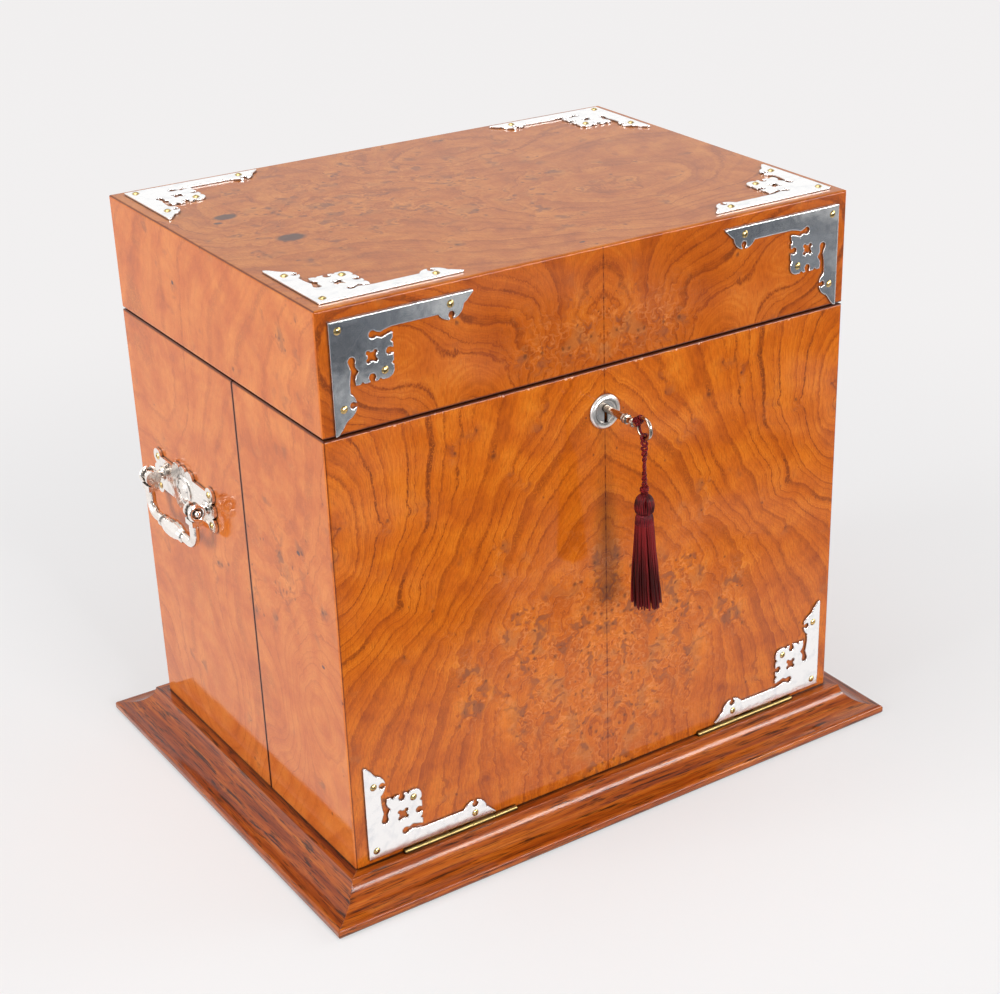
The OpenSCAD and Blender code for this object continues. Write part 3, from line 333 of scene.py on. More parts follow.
    # what lies over the ground colour, from the bottom up: (share, colour)
    layers = [
        (ticks, figure["line"]),
        (fine, figure["line"]),
        (lineShare, figure["line"]),
        (add("Math MULTIPLY", rim, most["rim"]), figure["rim"]),
        (curls, figure["rim"]),
        (halo, figure["halo"]),
        (flecks, figure["fleck"]),
        (smudge, figure["smudge"]),
        (add("Math MULTIPLY", pip, most["pip"]), figure["pip"]),
    ]
    for knotU, knotV, size in knots:
        shift = figure["raggedShift"]
        knot = bell(jitter, knotU + shift, knotV + shift, size, size * 0.7)
        knot = add("MapRange SMOOTHSTEP", knot, 0.22, 0.62)
        layers.append((add("Math MULTIPLY", knot, most["knot"]), figure["knot"]))
    if mirrored:  # the joint of the two leaves, a thin dark line that comes and goes
        joint = add("Math DIVIDE", add("Math ABSOLUTE", uFace), figure["jointReach"])
        joint = add("Math SUBTRACT", 1, joint, use_clamp=True)
        gaps = add("TexNoise", {"Vector": flat, "Scale": 1 / figure["jointGaps"], "Detail": 1})
        gaps = add("Math MULTIPLY_ADD", add("MapRange SMOOTHSTEP", gaps, 0.40, 0.62), 0.6, 0.4)
        layers.append((add("Math MULTIPLY", joint, gaps), figure["joint"]))
    if chips:  # bare pale chips along a level edge: (place, reach)
        edge, reach = chips
        strip = add("Math LESS_THAN", add("Math ABSOLUTE", add("Math SUBTRACT", v, edge)), reach)
        bare = add("TexNoise", {"Vector": flat, "Scale": 1 / figure["chipSize"], "Detail": 3,
                                "Roughness": 0.7})
        bare = add("Math MULTIPLY", strip, add("MapRange SMOOTHSTEP", bare, 0.61, 0.66))
        layers.append((add("Math MULTIPLY", bare, most["chip"]), figure["chip"]))
    for level, edge, reach in jointShade:  # painted shade along a joint's gap, with dirt and old polish, on the rubbed arrises beside it
        near = add("Math ABSOLUTE", add("Math SUBTRACT", v if level else uFace, edge))
        dark = add("MapRange SMOOTHSTEP", add("Math DIVIDE", near, reach), 0.4, 1.0, most["arris"], 0.0)
        if not level:
            dark = add("Math MULTIPLY", dark, add("Math LESS_THAN", v, half["seam"]))
        layers.append((dark, figure["arris"]))
    # behind the veneer's skin the board is plain wood, its grain upright or, in the top, along x
    grain = add("VectorMath MULTIPLY", here, (14, 420, 420) if inward[2] else (420, 420, 14))
    plain = add("TexNoise", {"Vector": grain, "Scale": 1.0, "Detail": 4.0})
    plain = add("ValToRGB", plain, stops=list(zip((0.3, 0.7), figure["carcass"])))
    layers.append((add("Math GREATER_THAN", w, figure["skin"]), plain))
    # painted shade, with dirt, where surfaces meet and round the mounts
    layers.append((shadeAndGrime(add, 1.3 * mm, 0.95), figure["shadeAndDirt"]))
    for share, over in layers:
        colour = add("Mix RGBA", {0: share, 6: colour, 7: linear(over) if isinstance(over, str) else over})

    # the polish lies almost level: a slow unevenness, with open pores and lines just felt
    level = add("TexNoise", {"Vector": flat, "Scale": 1 / figure["unlevel"], "Detail": 1})
    level = add("Math MULTIPLY_ADD", level, 6.0, add("Math MULTIPLY", lineShare, -0.5))
    level = add("Math MULTIPLY_ADD", pores, 0.30, level)
    bump = add("Bump", {"Height": level, "Strength": 0.10, "Distance": relief})
    fill(shader, {"Base Color": colour, "Normal": bump, "Coat Normal": bump})
    return finish


seesFront = {"across": (1, 0, 0, 0), "up": (0, 0, 1, 0), "inward": (0, 1, 0, half["y"])}
seesSide = {"across": (0, 1, 0, 0), "up": (0, 0, 1, 0)}
boards = {
    # two leaves of burr opened like a book, the burr low in the middle and loops to both sides
    "frontVeneer": dict(
        seesFront, eyes=[(152, 196, 50, 56, 56), (0, 92, 98, 92, -48), (118, 154, 11, 8, 7)],
        burr=(4, 86, 88, 78, 1.0), slope=(0.45, 0.25), mirrored=True, seed=3.7,
        chips=(250.6, 0.9), jointShade=[(1, 251.4, 1.2), (0, -155.5, 1.2), (0, 155.5, 1.2)],
        loud=(130, 214, 84, 84), tones=["#93400A", "#B4560A", "#C26410", "#D27A1E"], knots=[(-72, 93, 1.6)]),
    # two more leaves: arches on both sides of a small burr, and eyes under the mounts
    "lidFrontVeneer": dict(
        seesFront, eyes=[(0, 232, 34, 50, -26), (128, 288, 42, 38, 52), (66, 236, 46, 54, 80)],
        burr=(26, 270, 34, 22, 0.8), mirrored=True, seed=9.1, jointShade=[(1, 252.0, 1.6)], contrast=1.05,
        tones=["#86380A", "#A84E0A", "#B65B10", "#C6701E"]),
    # one leaf, faded by light, with two dark knots at the left
    "topVeneer": dict(
        across=(1, 0, 0, 0), up=(0, 1, 0, 0), inward=(0, 0, -1, half["top"]),
        eyes=[(-120, 40, 34, 40, 34), (60, -40, 80, 46, 44), (20, 70, 60, 34, 28)],
        burr=(-50, 20, 150, 100, 0.55), slope=(0.1, 0.3), seed=15.3, coat=0.52, contrast=0.68,
        knots=[(-124.5, 39, 6.4), (-113.5, -10.5, 7.8), (-132, 31, 2.4), (-5, -101, 1.6)],
        jointShade=[(0, -155.5, 1.3)], tones=["#8C4410", "#B05E1E", "#C0702A", "#D0843C"]),
    # pale quiet leaves, with small knots, and painted shade along the lid seam, the top edge and the upright
    # joint of the falling front
    "leftVeneer": dict(
        seesSide, inward=(1, 0, 0, half["x"]),
        eyes=[(-40, 82, 22, 34, 34), (-80, 102, 30, 34, -38), (30, 40, 56, 84, 58), (60, 210, 60, 60, 26),
              (-70, 200, 40, 60, 24)],
        burr=(-60, 170, 60, 50, 0.45), slope=(0.3, 0.3), seed=21.9, contrast=0.42,
        knots=[(-76.5, 181, 1.8), (-93.5, 126, 1.5), (40, 285, 1.6)],
        jointShade=[(1, half["seam"], 1.6), (0, -18.5, 1.7), (1, 313.6, 1.4)],
        tones=["#9C4614", "#BC5E1C", "#C86E28", "#D68036"]),
    # the leaf that the photograph doesn't show, of the same kind as the left one
    "rightVeneer": dict(
        seesSide, inward=(-1, 0, 0, half["x"]),
        eyes=[(-50, 100, 34, 60, 44), (50, 70, 60, 60, -46), (10, 210, 60, 40, 26)],
        burr=(-30, 180, 70, 50, 0.45), slope=(0.25, 0.3), seed=33.2, contrast=0.9,
        jointShade=[(1, half["seam"], 1.6), (0, -18.5, 1.7)]),
    # two plain-figured leaves on the back
    "backVeneer": dict(
        across=(1, 0, 0, 0), up=(0, 0, 1, 0), inward=(0, -1, 0, half["y"]),
        eyes=[(100, 190, 46, 100, 50), (0, 90, 90, 70, -50)], burr=(0, 110, 110, 90, 0.7), mirrored=True,
        seed=41.0, contrast=0.9, jointShade=[(1, half["seam"], 1.5)]),
}
finishes = {name: veneer(name, **board) for name, board in boards.items()}
print("veneers made:", len(finishes))


# Oak plinth and inner wood
sawn = {
    "bend": 62.5,          # mm, size of the slow bends of the grain
    "band": (2.8, 80),     # mm, wide and long, of the growth bands
    "streak": (1.7, 26),   # mm, wide and long, of the dark medullary streaks
    "pore": (0.5, 14),     # mm, wide and long, of the open pores
    "arris": 0.6,          # mm, radius of the rubbed arrises
    "tonePlaces": (0.30, 0.44, 0.56, 0.72),
    # painted shade where surfaces meet, with dirt
    "shadeAndDirt": "#140703",
}


def straightWood(name, run, colours, streak=0.5, gloss=0.3, coat=0.6, crossRun=None):
    # sawn board under polish: fibres along run (an axis), noise stretched along it, dark streaks of
    # strength streak and open pores; faces that look along run can carry crossRun instead
    finish, add, shader = newFinish(name, Roughness=gloss, Specular_IOR_Level=0.1, Coat_Weight=coat,
                                    Coat_Roughness=0.06, Coat_IOR=1.5)
    here = add("TexCoord").outputs["Object"]
    bend = add("TexNoise", {"Vector": here, "Scale": 1 / (sawn["bend"] * mm)}).outputs["Color"]
    if crossRun:
        facing = add("VectorMath DOT_PRODUCT", add("NewGeometry").outputs["Normal"], run)
        facing = add("Math GREATER_THAN", add("Math ABSOLUTE", facing), 0.7)

    def stretched(size, detail, bent):
        wide, long = (length * mm for length in size)
        place = add("VectorMath MULTIPLY", here, [1 / long if c else 1 / wide for c in run])
        if crossRun:
            other = add("VectorMath MULTIPLY", here, [1 / long if c else 1 / wide for c in crossRun])
            place = add("Mix VECTOR", {0: facing, 4: place, 5: other})
        place = add("VectorMath MULTIPLY_ADD", bend, (bent, bent, bent), place)
        return add("TexNoise", {"Vector": place, "Scale": 1.0, "Detail": detail, "Roughness": 0.6})

    wood = stretched(sawn["band"], 4.0, 1.6)
    wood = add("ValToRGB", wood, stops=list(zip(sawn["tonePlaces"], colours[1:])))
    dark = add("MapRange", stretched(sawn["streak"], 4.0, 2.2), 0.55, 0.66, 0.0, streak)
    pores = stretched(sawn["pore"], 2.0, 1.0)
    fine = add("MapRange", pores, 0.54, 0.66, 0.0, streak * 0.8)
    colour = add("Mix RGBA", {0: dark, 6: wood, 7: linear(colours[0])})
    colour = add("Mix RGBA", {0: fine, 6: colour, 7: linear(colours[0])})
    # painted shade, with dirt, where surfaces meet
    colour = add("Mix RGBA", {0: shadeAndGrime(add, 3.0 * mm, 0.95), 6: colour, 7: linear(sawn["shadeAndDirt"])})
    edge = add("Bevel", {"Radius": sawn["arris"] * mm}, samples=6)
    bump = add("Bump", {"Height": pores, "Strength": 0.15, "Distance": relief, "Normal": edge}, invert=True)
    fill(shader, {"Base Color": colour, "Normal": bump, "Coat Normal": bump})
    return finish


oakColours = ["#2A1206", "#7C3206", "#96430A", "#AA5410", "#C06C20"]
# the same oak colours made darker: painted shade for the plinth's left and right sides
oakColoursPaintedDarker = ["#260F05", "#702A04", "#883A08", "#9C4A0E", "#B4621C"]
rackColours = ["#3A1C0E", "#5E3018", "#74401F", "#84492A", "#9A5C38"]
inner = {"streak": 0.4, "gloss": 0.45, "coat": 0.2}
# stained oak, moulded and polished: coarse dark pores that run along the moulding
finishes["oakAcross"] = straightWood("oakAcross", (1, 0, 0), oakColours, 0.88)
# the plinth's left and right sides: grain along y, in the oak painted darker as painted shade
finishes["oakSidesPaintedDarker"] = straightWood("oakSidesPaintedDarker", (0, 1, 0), oakColoursPaintedDarker, 0.88)
# plain stained wood inside, thinly polished: quiet and half matt
finishes["rackWood"] = straightWood("rackWood", (1, 0, 0), rackColours, crossRun=(0, 1, 0), **inner)
finishes["stopWood"] = straightWood("stopWood", (0, 0, 1), rackColours, **inner)


# Metals and glass
rubbed = {
    "wipes": 700,      # to the metre: fine scratches of the cloth, as coarse as they need to show
    "tarnish": 160,    # clouds of tarnish to the metre
    "hollow": 0.6,     # mm, depth of the slow hollows
    # painted shade where surfaces meet, with dirt
    "shadeAndDirt": "#40332C",
}


def metal(name, colour, dull, roughness, wave=0.25, waveSize=9, worn=0.0, shadeAndDirt=0.62):
    # slow hollows, waveSize mm across, bend the reflections, fine wipes dull them, tarnish tints
    # them, dirt with painted shade darkens the corners, and rubbed edges of radius worn round off and catch
    # the light
    finish, add, shader = newFinish(name, Metallic=1.0)
    here = add("TexCoord").outputs["Object"]
    slow = add("TexNoise", {"Vector": here, "Scale": 1 / (waveSize * mm)})
    wipes = add("TexNoise", {"Vector": here, "Scale": rubbed["wipes"], "Detail": 3.0, "Roughness": 0.7})
    tarnish = add("TexNoise", {"Vector": here, "Scale": rubbed["tarnish"], "Detail": 4.0})
    tarnish = add("MapRange", tarnish, 0.5, 0.8, 0.0, 0.6)
    tint = add("Mix RGBA", {0: tarnish, 6: linear(colour), 7: linear(dull)})
    tint = add("Mix RGBA", {0: shadeAndGrime(add, 1.2 * mm, shadeAndDirt), 6: tint, 7: linear(rubbed["shadeAndDirt"])})
    spread = add("MapRange", wipes, 0.0, 1.0, roughness * 0.7, roughness * 1.5)
    bump = add("Bump", {"Height": slow, "Strength": wave, "Distance": rubbed["hollow"] * mm})
    if worn:
        fill(bump, {"Normal": add("Bevel", {"Radius": worn}, samples=6)})
    fill(shader, {"Base Color": tint, "Roughness": spread, "Normal": bump})
    return finish


metals = {
    # silver plate on sheet brass, hand polished: broad calm reflections and soft bright edges
    "silverPlate": dict(colour="#F4F3F2", dull="#D2D4D8", roughness=0.10, wave=0.22, waveSize=14,
                        worn=0.9 * mm),
    # silver plate on cast brass, filed and polished: short lively reflections, dark in the hollows with dirt
    # and painted shade
    "silverCast": dict(colour="#F0EAE4", dull="#C4BAB0", roughness=0.15, wave=0.40, waveSize=4.5, shadeAndDirt=0.9),
    # silver plate on turned brass: the lathe leaves it a little softer
    "silverSpun": dict(colour="#F0EAE4", dull="#C8C0B8", roughness=0.28, wave=0.20, waveSize=6, shadeAndDirt=0.75),
    # plated steel, worn by hands to a warm grey
    "keyMetal": dict(colour="#B8AA9C", dull="#7E7266", roughness=0.18, wave=0.25, waveSize=5, shadeAndDirt=0.8),
    # drawn brass, dull, with dirt and painted shade in the joints
    "brassWorn": dict(colour="#A8925E", dull="#5A4A2A", roughness=0.30, wave=0.3, waveSize=3, shadeAndDirt=0.9),
    # turned brass screws, cleaned with the silver: small gold sparks
    "brassBright": dict(colour="#CDB27A", dull="#8E7A4A", roughness=0.20, wave=0.15, waveSize=4),
    # sheet and cast brass of hinges and lock, left to brown
    "brassAged": dict(colour="#8E7850", dull="#3E3220", roughness=0.30, wave=0.2, waveSize=5),
}
for name, look in metals.items():
    finishes[name] = metal(name, **look)

glassTint = "#F4FAFA"
cutting = {"from": 30, "to": 135, "every": 6}  # mm, the heights of the diamond cut and its spacing


def leadGlass(name, cut):
    # lead glass, blown and polished: clear, with bright bends; cut adds a wheel-cut diamond pattern,
    # the lower of two slanting zigzags min(pingpong(z + s), pingpong(z - s)) with s = x + y
    finish, add, shader = newFinish(name, Base_Color=linear(glassTint), Roughness=0.02, IOR=1.54,
                                    Transmission_Weight=1.0)
    if cut:
        x, y, z = add("SeparateXYZ", add("TexCoord").outputs["Object"]).outputs
        side = add("Math ADD", x, y)
        slants = [add("Math MULTIPLY_ADD", side, sign, z) for sign in (1, -1)]
        zigzags = [add("Math PINGPONG", slant, cut["every"] * mm) for slant in slants]
        above = add("Math GREATER_THAN", z, cut["from"] * mm)
        below = add("Math LESS_THAN", z, cut["to"] * mm)
        height = add("Math MULTIPLY", add("Math MINIMUM", *zigzags), add("Math MULTIPLY", above, below))
        fill(shader, {"Normal": add("Bump", {"Height": height, "Strength": 0.8, "Distance": 1.0})})
    return finish


finishes["cutGlass"] = leadGlass("cutGlass", cutting)
finishes["plainGlass"] = leadGlass("plainGlass", None)


thread = {
    "sheen": "#B02A30",
    "flecks": 1400,                 # to the metre
    "tonePlaces": (0.15, 0.5, 0.85),
    "faded": (0.40, 0.16),          # lighter by this at the top of a strand and below
}


def silk(name, colours, lay, spread=0.2, fading=0):
    # twisted silk: deep dye, painted lighter and darker round each strand or ply along its twist; lay is
    # turns of twist per mm of UV v, spread the difference between strands, fading the mm over which a strand
    # darkens from its top
    finish, add, shader = newFinish(name, Roughness=0.46, Sheen_Weight=0.03, Sheen_Roughness=0.4,
                                    Sheen_Tint=linear(thread["sheen"]), Specular_IOR_Level=0.16)
    across, down, _ = add("SeparateXYZ", add("UVMap", uv_map="run")).outputs
    # painted light and shade round each strand or ply, following its twist
    strand = add("Math PINGPONG", add("Math MULTIPLY_ADD", down, lay, across), 0.5)
    fleck = add("TexNoise", {"Vector": add("TexCoord").outputs["Object"], "Scale": thread["flecks"]})
    own = add("TexWhiteNoise 1D", {"W": add("Math FLOOR", across)})
    grain = add("Math MULTIPLY_ADD", own, spread, add("Math MULTIPLY_ADD", fleck, 0.4, -0.5 * spread))
    tone = add("Math MULTIPLY_ADD", strand, 1.1, grain)
    if fading:
        tone = add("Math ADD", tone, add("MapRange SMOOTHSTEP", down, 0.0, fading, *thread["faded"]))
    colour = add("ValToRGB", tone, stops=list(zip(thread["tonePlaces"], colours)))
    bump = add("Bump", {"Height": strand, "Strength": 0.5, "Distance": relief})
    fill(shader, {"Base Color": colour, "Normal": bump})
    return finish


finishes["silkCord"] = silk("silkCord", ["#260404", "#640B0E", "#9C1D21"], 0.6)
finishes["silkHead"] = silk("silkHead", ["#180303", "#4A090B", "#8A181C"], 0.05)
finishes["silkBand"] = silk("silkBand", ["#200408", "#5A0A12", "#921822"], 0.05)
finishes["silkFringe"] = silk("silkFringe", ["#220505", "#440909", "#721517"], 0.02, 0.5, 9)
print("finishes made:", len(finishes))

wears = {
    "frontVeneer": ["front_panel"],
    "lidFrontVeneer": ["lid_front"],
    "topVeneer": ["lid_top"],
    "leftVeneer": ["case_side_left", "front_cheek_left", "lid_left"],
    "rightVeneer": ["case_side_right", "front_cheek_right", "lid_right"],
    "backVeneer": ["case_back", "lid_back"],
    "oakAcross": ["plinth_front", "plinth_back", "base_board"],
    "oakSidesPaintedDarker": ["plinth_left", "plinth_right"],
    "rackWood": ["decanter_rail", "decanter_dividers", "tumbler_gallery"],
    "stopWood": ["seam_stops"],
    "silverPlate": ["lid_top_mounts", "lid_front_mounts", "case_front_mounts"],
    "silverSpun": ["escutcheon"],
    "keyMetal": ["key"],
    "brassWorn": ["front_hinge_base_leaves", "front_hinge_front_leaves", "front_hinge_pins"],
    "silverCast": ["handle_plate_left", "handle_plate_right", "handle_pins_left", "handle_pins_right",
                   "bail_left", "bail_right"],
    "brassBright": ["lid_mount_screws", "front_mount_screws", "handle_screws_left", "handle_screws_right"],
    "brassAged": ["lid_hinge_case_leaves", "lid_hinge_lid_leaves", "lid_hinge_pins", "link_plate",
                  "link_staples", "lock_case", "lock_bolt"],
    "cutGlass": ["decanter_left", "decanter_centre", "decanter_right", "stopper_left", "stopper_centre",
                 "stopper_right"],
    "plainGlass": ["tumbler_1", "tumbler_2", "tumbler_3", "tumbler_4"],
}
for finishName, nodeNames in wears.items():
    for nodeName in nodeNames:
        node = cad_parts[nodeName]
        node.data.materials.clear()
        node.data.materials.append(finishes[finishName])
print("nodes dressed")


# Surfaces from numpy
fineStep = 0.3 * mm      # along cords and profiles


def surface(name, points, finish, body, uv):
    # points has the shape (copies, nu, nv, 3): each copy is a grid over two parameters, closed round
    # the second. A ring drawn to one point closes as a pole when doubles are merged.
    index = np.arange(points.size // 3).reshape(points.shape[:3])
    here, after = index[:, :-1], index[:, 1:]
    quads = np.stack([here, np.roll(here, -1, 2), np.roll(after, -1, 2), after], -1).reshape(-1, 4)
    mesh = bpy.data.meshes.new(name)
    mesh.vertices.add(index.size)
    mesh.vertices.foreach_set("co", points.ravel())
    mesh.loops.add(quads.size)
    mesh.loops.foreach_set("vertex_index", quads.ravel())
    mesh.polygons.add(len(quads))
    mesh.polygons.foreach_set("loop_start", np.arange(len(quads)) * 4)
    layer = mesh.uv_layers.new(name="run")
    layer.data.foreach_set("uv", uv.reshape(-1, 2)[quads.ravel()].ravel())
    mesh.update()
    mesh.validate()
    work = bmesh.new()
    work.from_mesh(mesh)
    bmesh.ops.remove_doubles(work, verts=work.verts, dist=1e-6)
    bmesh.ops.dissolve_degenerate(work, edges=work.edges, dist=1e-7)
    bmesh.ops.recalc_face_normals(work, faces=work.faces)
    work.to_mesh(mesh)
    work.free()
    mesh.polygons.foreach_set("use_smooth", np.full(len(mesh.polygons), True))
    mesh.materials.append(finishes[finish])
    piece = bpy.data.objects.new(name, mesh)
    scene.collection.objects.link(piece)
    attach(piece, body)
    return piece


def frames(line):
    # unit tangents of a line of points and two unit normals that turn as little as they can
    tangent = np.gradient(line, axis=0)
    tangent /= np.linalg.norm(tangent, axis=1, keepdims=True)
    start = np.array([0.0, 1.0, 0.0]) if abs(tangent[0][1]) < 0.8 else np.array([1.0, 0.0, 0.0])
    side = np.zeros_like(line)
    side[0] = start - tangent[0] * (start @ tangent[0])
    side[0] /= np.linalg.norm(side[0])
    for i in range(1, len(line)):
        side[i] = side[i - 1] - tangent[i] * (side[i - 1] @ tangent[i])
        side[i] /= np.linalg.norm(side[i])
    return tangent, side, np.cross(tangent, side)


def smoothLine(points):
    # cubic curve through the points, its slope at each one half the way between its neighbours, then
    # resampled to even steps of its own length
    points = np.asarray(points, float)
    padded = np.vstack([2 * points[0] - points[1], points, 2 * points[-1] - points[-2]])
    t = np.linspace(0, 1, 12, endpoint=False)[:, None, None]
    p0, p1, p2, p3 = (padded[i:len(padded) - 3 + i][None] for i in range(4))
    curve = 0.5 * (2 * p1 + (p2 - p0) * t + (2 * p0 - 5 * p1 + 4 * p2 - p3) * t ** 2
                   + (3 * p1 - p0 - 3 * p2 + p3) * t ** 3)
    curve = np.vstack([curve.transpose(1, 0, 2).reshape(-1, 3), points[-1]])
    run = np.concatenate([[0], np.cumsum(np.linalg.norm(np.diff(curve, axis=0), axis=1))])
    even = np.linspace(0, run[-1], int(run[-1] / fineStep) + 2)
    return np.stack([np.interp(even, run, curve[:, k]) for k in range(3)], 1), even


def rope(points, diameter, sides, pitch, strands=3):
    # tube along a smooth line: radius d/2 (1 - dent + dent |cos(strands (angle - turn) / 2)|), the
    # turn growing by one for each pitch, which cuts the grooves between twisted strands
    line, run = smoothLine(points)
    _, side, other = frames(line)
    angle = np.linspace(0, 2 * np.pi, sides, endpoint=False)
    turn = 2 * np.pi * run[:, None] / pitch
    dent = 0.16
    radius = diameter / 2 * (1 - dent + dent * np.abs(np.cos(strands * (angle[None] - turn) / 2)))
    radius[[0, -1]] = 0
    outward = np.cos(angle)[None, :, None] * side[:, None] + np.sin(angle)[None, :, None] * other[:, None]
    rings = line[:, None] + radius[..., None] * outward
    uv = np.stack([np.broadcast_to(angle / (2 * np.pi) * strands, radius.shape),
                   np.broadcast_to(-run[:, None] / mm, radius.shape)], -1)
    return rings[None], uv[None], line, run[-1]


# Silk cord on the key's bow
tassel = {
    "bowFoot": (0.0, -0.1445, 0.2248),  # lowest point of the bow's wire, as in the part's source
    "drop": 27.5 * mm,
    "knotTop": 0.2 * mm,
    "cord": 1.5 * mm,
    "loop": 1.9 * mm,
    "gap": 0.8 * mm,
    "turns": 5.5,              # turns of one leg about the other between the bow and the head
    "turnsFrom": 1.2 * mm,     # below the bow's foot
    "pitch": 3.2 * mm,         # of the cord's own twist
    "head": 4.85 * mm,
}
foot = np.array(tassel["bowFoot"])
rise = tassel["drop"] - tassel["knotTop"]
steps = np.arange(10) / 10
across = tassel["gap"] + (tassel["loop"] - tassel["gap"]) * steps ** 4
arc = np.radians(np.arange(0, 181, 20))
flatRoute = np.concatenate([
    np.stack([across, (steps - 1) * rise], 1),
    tassel["loop"] * np.stack([np.cos(arc), np.sin(arc)], 1),
    np.stack([-across, (steps - 1) * rise], 1)[::-1]])
# below the loop the two legs turn about each other: the point is turned about the upright axis
spread = np.clip((-flatRoute[:, 1] - tassel["turnsFrom"]) / (rise - tassel["turnsFrom"]), 0, 1)
twist = 2 * np.pi * tassel["turns"] * spread
route = foot + np.stack([flatRoute[:, 0] * np.cos(twist), flatRoute[:, 0] * np.sin(twist),
                         flatRoute[:, 1]], 1)
rings, uv, cordLine, cordLength = rope(route, tassel["cord"], 12, tassel["pitch"])
silkCord = surface("silkCord", rings, "silkCord", "tassel", uv)
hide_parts("tassel_cord")
print("cord made:", round(cordLength / mm, 1), "mm")


# Tassel head: threads drawn down over a core, tied, with a wound band
headTop = foot[2] - tassel["drop"]
fullest = tassel["head"] / mm
turned = {
    # (radius, height below the head's top) in mm
    "head": [(0.01, 0.0), (1.2, -0.3), (1.7, -1.6), (1.6, -2.4), (2.8, -3.2), (4.1, -4.9),
             (fullest - 0.1, -7.6), (fullest, -9.6), (4.5, -11.6), (3.8, -12.5), (3.0, -12.8), (0.01, -12.9)],
    "band": [(0.01, -12.5), (2.9, -12.6), (3.4, -13.0), (4.0, -13.9), (4.35, -15.2), (4.45, -17.0),
             (4.3, -18.6), (0.01, -18.7)],
    # the threads part in front: angle, its half width, height, half height and depth
    "parting": (math.pi * 1.34, 0.22, -8.0 * mm, 4.0 * mm, 2.3 * mm),
}


def threaded(name, profile, threads, depth, lean, finish, parting=None):
    # surface of revolution r(t), z(t) through the profile's points, with threads as ridges
    # depth (|cos(threads (angle + lean t) / 2)| - 1/2), and a teardrop parting pressed in
    profile = np.array(profile, float) * mm
    profile = np.column_stack([profile[:, 0], np.zeros(len(profile)), profile[:, 1]])
    line, run = smoothLine(profile)
    t = run / run[-1]
    angle = np.linspace(0, 2 * np.pi, threads * 6, endpoint=False)
    fade = np.clip(line[:, 0] / (2.2 * mm), 0, 1)
    ridge = np.abs(np.cos(threads * (angle[None] + lean * t[:, None]) / 2)) - 0.5
    radius = line[:, 0, None] + depth * fade[:, None] * ridge
    z = np.broadcast_to(line[:, 2, None], radius.shape)
    if parting:
        place, width, middle, tall, deep = parting
        narrow = width * (1 - 0.6 * np.clip((z - middle) / tall, -1, 1))
        radius = radius - deep * np.exp(-((angle[None] - place) / narrow) ** 2 - ((z - middle) / tall) ** 2)
    radius = np.maximum(radius, 0)
    radius[[0, -1]] = 0
    points = np.stack([foot[0] + radius * np.cos(angle), foot[1] + radius * np.sin(angle), headTop + z], -1)
    uv = np.stack([np.broadcast_to(angle / (2 * np.pi) * threads, radius.shape), z / mm], -1)
    return surface(name, points[None], finish, "tassel", uv[None])


tasselHead = threaded("tasselHead", turned["head"], 26, 0.55 * mm, 0.5, "silkHead", turned["parting"])
tasselBand = threaded("tasselBand", turned["band"], 32, 0.42 * mm, 0.12, "silkBand")
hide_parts("tassel_head")
print("tassel head made")

# two coils of cord as the knot above the head
knot = {
    "radius": 1.7 * mm,
    "cord": 1.4 * mm,
    "turns": 2.2,
    "heights": (-0.9, 1.5),    # mm, from the head's top
}
knotRun = np.linspace(0, knot["turns"] * 2 * np.pi, 40)
coils = np.stack([knot["radius"] * np.cos(knotRun), knot["radius"] * np.sin(knotRun),
                  np.linspace(*knot["heights"], 40) * mm], 1)
rings, uv, _, _ = rope(coils + [0, foot[1], headTop], knot["cord"], 10, tassel["pitch"])
headKnot = surface("headKnot", rings, "silkCord", "tassel", uv)

# the cord is made fast round the bow beside the stem: turns about the wire, a short end that
# stands up, and a trefoil x = sin t + 2 sin 2t, y = cos t - 2 cos 2t, z = -sin 3t in front
bow = {
    "radius": 5.1 * mm,
    "cord": 1.15 * mm,
    "pitch": 3.0 * mm,
    "lap": 1.55 * mm,          # from the wire's middle to the cord's
    "climbFrom": -80,          # degrees up from the stem's side of the bow
    "wrapFrom": 12,
    "wrapTo": 58,
    "wraps": 3.0,
    "trefoil": 0.72 * mm,
    "trefoilAt": 34.0,
}
bowCentre = foot + [0, 0, bow["radius"]]


def onBow(degrees, out, sideways):
    # a point beside the bow's wire: degrees round the bow, out from its centre and sideways
    angle = np.radians(degrees)
    reach = bow["radius"] + out
    return bowCentre + np.stack([sideways, reach * np.cos(angle), reach * np.sin(angle)], -1)


climb = np.linspace(bow["climbFrom"], bow["wrapFrom"], 9)
inside = onBow(climb, np.full(9, -bow["lap"] - 0.1 * mm), np.linspace(-0.5, -0.2, 9) * mm)
lap = np.linspace(0, 1, 46)
turns = np.pi + 2 * np.pi * bow["wraps"] * lap
wrapAngle = bow["wrapFrom"] + (bow["wrapTo"] - bow["wrapFrom"]) * lap
laps = onBow(wrapAngle, bow["lap"] * np.cos(turns), bow["lap"] * np.sin(turns))
loose = laps[-1] + np.array([[-0.5, 0.1, 0.9], [-0.9, 0.5, 1.9], [-0.8, 0.9, 2.9]]) * mm
rings, uv, _, _ = rope(np.vstack([inside, laps[1:], loose]), bow["cord"], 10, bow["pitch"])
bowTurns = surface("bowTurns", rings, "silkCord", "key", uv)
run = np.linspace(0, 2 * np.pi, 60)
trefoil = bow["trefoil"] * np.stack([-np.sin(3 * run) * 0.8, np.sin(run) + 2 * np.sin(2 * run),
                                     np.cos(run) - 2 * np.cos(2 * run)], -1)
trefoil = trefoil + onBow(bow["trefoilAt"], -0.4 * mm, -1.9 * mm)
rings, uv, _, _ = rope(trefoil, bow["cord"], 10, bow["pitch"])
bowKnot = surface("bowKnot", rings, "silkCord", "key", uv)
print("bow knot made")


